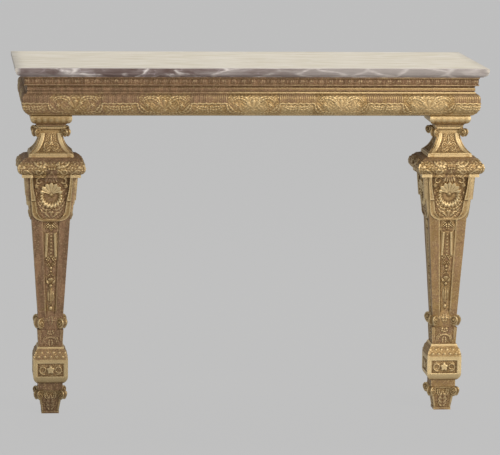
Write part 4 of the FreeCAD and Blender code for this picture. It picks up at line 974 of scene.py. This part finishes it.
def make_pendants():
    """In each sunk panel a chain: a knob and a three-lobed leaf, a long double bell, a leafy
    knot, a ring flower, and a long husk with a bud at its tip. The height over the panel's floor
    is that of the highest of them, and falls to the floor along a varying outline."""
    z = np.linspace(505, 261, 262)
    # half its width at levels from the bottom up
    levels = [261, 265, 271, 277, 282, 293, 310, 321, 325, 329, 333, 346, 352, 356, 360,
              368, 376, 382, 392, 396, 402, 441, 461, 464, 469, 482, 488, 494, 500, 505]
    widths = [1, 4, 6, 6, 5, 8.5, 9.5, 5, 6, 5, 10, 12, 11, 8, 5,
              10, 6, 12, 10, 15, 17.5, 16.5, 15.5, 15, 19.5, 18.5, 12, 7, 6, 3]
    half = np.interp(z, levels, widths)
    x, down, side = between(z, [-half, half], [40])
    bell_half = 14.6 + 2.6 * np.clip((463 - down) / 62, 0, 1)
    lip = strap(side - bell_half + 5.0, 4.4, 2.4, 2.4)
    bell = (strap(side, bell_half, 2.0, 1.5) * (down < 464) * (down > 400)
            + lip * within(down, 400, 464, 3, 2))
    clapper = pearl(x, every(down, 8.5, 404), 2.9, 4.2) * (down < 462) * (down > 402)
    leafy = leaves(side, down, ((1.5, 488, -38, 21, -14, 1.0), 5.2, 5.2),
                   ((0.3, 489, -90, 24, 0, 1.0), 4.8, 5.4), ((2, 404, -50, 22, -20, 1.0), 4.5, 5.0),
                   ((1, 387, -30, 15, -70, 1.0), 4.2, 5.0), ((1, 361, -30, 14, -40, 1.0), 4.0, 4.6),
                   ((2, 336, 4, 15, 110, 1.2), 4.2, 5.0, 3))
    knobs = beads(x, down, (499, 5.5, 6.5), (374, 4.6, 5.5), (365, 3.4, 4.5), (329, 4.8, 5.4))
    ring = fan(x, down - 333, 17, 5, 5.6, 1.25)
    spindle = np.array([(0, 323, 4.0), (0, 306, 9.5), (0, 293, 8.0), (0, 281, 3.0)])
    seam = 1.2 * np.exp(-(side - 3.4) ** 2) * (down < 318) * (down > 285)
    husk = roll(side, down, spindle, 4.6) - seam
    tip = pearl(x, (down - 270.5) * 0.8, 5.2, 4.8)
    rise = highest(leafy, knobs, bell, clapper, ring, husk, tip, 1.3)
    floor = shaft_half(z) - PANEL_DEPTH
    sheath = ease((half[:, None] - side) / 0.9 + 0.15)
    front = xyz(x, floor[:, None] + rise * sheath, down)
    tone = 0.30 + 0.25 * (rise < 2.5) - 0.22 * (down > 464) * (rise > 3)
    tone = np.concatenate([tone, tone[:, :2]], axis=1)
    leg_pieces("pendants", on_each_face(plated(front, half, floor, z), tone))


make_pendants()


# ---- corner scrolls

def volute(reach, eye_z, radius, tail, thick, turns, root):
    """A volute on a corner of the leg, in its diagonal plane. Its outline is a circle round the
    eye, drawn out below into a tail; both sides carry a spiral roll, and the outer edge a
    hollow between two fillets. Rows run from one eye over the edge to the other eye."""
    hollow_half = 0.86                    # share of half the thickness
    angle = np.linspace(0, 2 * math.pi, 84, endpoint=False)[None, :]
    below = np.clip(-np.sin(angle), 0, 1)
    inward = np.clip(-np.cos(angle), 0, 1)
    drawn = (tail - radius) * below ** 5 * (0.6 + 0.4 * inward)
    edge_reach = radius + drawn + root * inward ** 3 * (below < 0.9)
    share = np.concatenate([np.linspace(0.04, 0.9, 15), [0.96, 1.0]])
    rim = np.linspace(hollow_half, -hollow_half, 11)[1:-1]
    flat = np.ones(15)
    rows = np.concatenate([share, np.ones(9), share[::-1]])[:, None]
    across = np.concatenate([flat, [0.97, hollow_half], rim, [-hollow_half, -0.97], -flat])[:, None]
    away = rows * edge_reach
    face = rows < 0.93
    pitch = radius / turns
    wound = every(away - radius * 0.86 * (1 - angle / (2 * math.pi) / turns), pitch)
    spiral = 2.3 * half_round(wound / (pitch * 0.42)) * face
    eye = pearl(away, 0 * away, radius * 0.3, 3.2)
    belly = 1.6 * (1 - rows ** 2)
    width = thick / 2 * np.abs(across) + (np.maximum(spiral - 1.2, eye) + belly) * face
    offset = np.sign(across) * width
    hollow = np.clip(np.cos(across / hollow_half * math.pi / 2), 0, 1) ** 0.7
    away = away - 1.5 * hollow * (np.abs(across) <= hollow_half)
    r = reach - radius + away * np.cos(angle)
    z = eye_z + away * np.sin(angle)
    tone = np.where(face, 0.15, 0.35)
    diagonal = math.sqrt(2)
    return [grid(xyz((r - offset) * sx / diagonal, (r * sy + offset * sy) / diagonal, z), tone)
            for sx in (1, -1) for sy in (1, -1)]


leg_pieces("corner_scrolls", [
    *volute(62.5, 716.5, 9.0, 14.0, 12.5, 2.0, 6.0),
    *volute(52.3, 235.0, 12.0, 20.0, 16.0, 2.2, 4.0),
    *volute(53.1, 52.5, 9.5, 19.0, 13.0, 2.0, 4.0)])


# ---- marble slab

SLAB_HALF = 590.0        # half its width
SLAB_REACH = 225.0       # from the middle of its depth to its front, and to the wall
SLAB_TOP, SLAB_UNDER = 880.0, 858.0


def slab_grid():
    """Each ring is a rectangle with its back on the wall: half its width and its reach to the
    front both shrink with the outline's inset. The rings on the top and the underside that are
    nearest the middle keep clear of the wall too."""
    edge = outline([
        (589.0, SLAB_TOP), (590, 879), (590, 871), (588.5, 871), (577.5, 860, BULGE),
        (577.5, SLAB_UNDER)], 0.9)
    inset = np.concatenate([[200, 30], SLAB_HALF - edge[:, 0], [30, 200]])[:, None]
    z = np.concatenate([[SLAB_TOP] * 2, edge[:, 1], [SLAB_UNDER] * 2])[:, None]
    side = np.linspace(0, 1, 40, endpoint=False)[None, :]
    front = np.linspace(0, 1, 160, endpoint=False)[None, :]
    half, reach = SLAB_HALF - inset, SLAB_REACH - inset
    back = np.maximum(SLAB_REACH - np.maximum(inset - 28, 0), 0)
    ring = np.concatenate([
        xyz(-half, back - (reach + back) * side, z),
        xyz(-half + 2 * half * front, -reach, z),
        xyz(half, (back + reach) * side - reach, z),
        xyz(half - 2 * half * front, back, z)], axis=1)
    # tone 1 paints the top pale as a sheen; on the top arris it rises to 0.5, a pale lilac
    top = np.concatenate([[1.0, 1.0], 0.5 * ease(edge[:, 1] - 879.2), [0.0, 0.0]])[:, None]
    x = ring[..., 0]
    pale_ends = 0.8 * ease((np.abs(x) - 578) / 6)
    pale_right = 0.36 * ease((x + 220) / 500)
    pale = np.maximum(pale_ends, pale_right) * (z > SLAB_UNDER + 0.5)
    return [grid(ring, np.maximum(top, pale))]


piece("moulded_marble_slab", slab_grid(), MARBLE, "top", ["marble_top"])


# ---- bare timber

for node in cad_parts.values():
    if not node.hide_render:
        node.data.materials.clear()
        node.data.materials.append(PINE)


# ---- floor, light and camera

STUDIO_GREY = "#c1c1c1"


def studio_floor():
    """Pale studio floor. Where the camera sees it, it is mostly an even grey, and keeps a
    share of real shading for the table's shadow."""
    material, add = start_nodes(bpy.data.materials.new("pale_studio_floor"))
    seen = add("Math", LARGER, i0=add("LightPath", out="Is Glossy Ray"),
               i1=add("LightPath", out="Is Transmission Ray"))
    seen = add("Math", LARGER, i0=add("LightPath", out="Is Camera Ray"), i1=seen)
    plain = add("BsdfDiffuse", Color=STUDIO_GREY)
    even = add("Emission", Color=STUDIO_GREY, Strength=1.0)
    shown = add("MixShader", i0=0.95, i1=plain, i2=even)
    add("OutputMaterial", Surface=add("MixShader", i0=seen, i1=plain, i2=shown))
    bpy.ops.mesh.primitive_plane_add(size=60.0, location=(0, 0, 0))
    floor = bpy.context.object
    floor.name = "studio_floor"
    floor.data.materials.append(material)


def studio_world():
    """White surroundings that fill the shadows, and that the camera sees as an even grey."""
    world, add = start_nodes(bpy.data.worlds.new("studio"))
    seen = add("Math", LARGER, i0=add("LightPath", out="Is Camera Ray"),
               i1=add("LightPath", out="Is Transmission Ray"))
    shown = add("Background", Color=STUDIO_GREY, Strength=1.0)
    fill = add("Background", Color="#ffffff", Strength=0.36)
    add("OutputWorld", Surface=add("MixShader", i0=seen, i1=fill, i2=shown))
    bpy.context.scene.world = world


def square_lamp(name, place, aim, size, power, colour):
    """A soft square lamp. Size is in metres and power in watts."""
    lamp = bpy.data.lights.new(name, "AREA")
    lamp.shape = "SQUARE"
    lamp.size = size
    lamp.energy = power
    lamp.color = linear(colour)[:3]
    holder = bpy.data.objects.new(name, lamp)
    holder.location = place
    holder.rotation_euler = (Vector(aim) - Vector(place)).to_track_quat("-Z", "Y").to_euler()
    holder.visible_camera = False
    bpy.context.scene.collection.objects.link(holder)


def camera():
    """Long lens in front of the table's left end and above it, aimed at the middle and turned
    0.7 of a degree about its axis, so that the slab lies level."""
    focal, picture_wide = 2989, 500          # in pixels
    right, down, roll_over = 0.105, 0.1519, 0.0126
    lens = bpy.data.cameras.new("camera")
    lens.sensor_width = 36.0
    lens.lens = lens.sensor_width * focal / picture_wide
    lens.clip_end = 200.0
    holder = bpy.data.objects.new("camera", lens)
    holder.location = (-0.7782, -7.5479, 1.6101)
    way = Vector((math.tan(right), 1.0, -math.tan(down) / math.cos(right)))
    level = way.to_track_quat("-Z", "Y")
    holder.rotation_euler = (level @ Quaternion((0, 0, 1), roll_over)).to_euler()
    bpy.context.scene.collection.objects.link(holder)
    bpy.context.scene.camera = holder


studio_floor()
studio_world()
# a broad lamp in front of the table and to its right, a higher one that models the carving, a
# weak one from the left and one over the slab
square_lamp("front_lamp", (1.9, -3.8, 1.5), (0.2, -0.1, 0.5), 3.0, 80.0, "#fff6ea")
square_lamp("key_lamp", (2.2, -2.6, 2.9), (0.1, -0.1, 0.5), 2.0, 38.0, "#fff4e4")
square_lamp("left_lamp", (-2.6, -3.4, 2.4), (0, -0.1, 0.8), 1.8, 20.0, "#f4f6ff")
square_lamp("slab_lamp", (0.2, 1.6, 3.2), (0, 0.1, 0.9), 2.4, 46.0, "#fffaf0")
camera()
bpy.context.scene.view_settings.view_transform = "Standard"
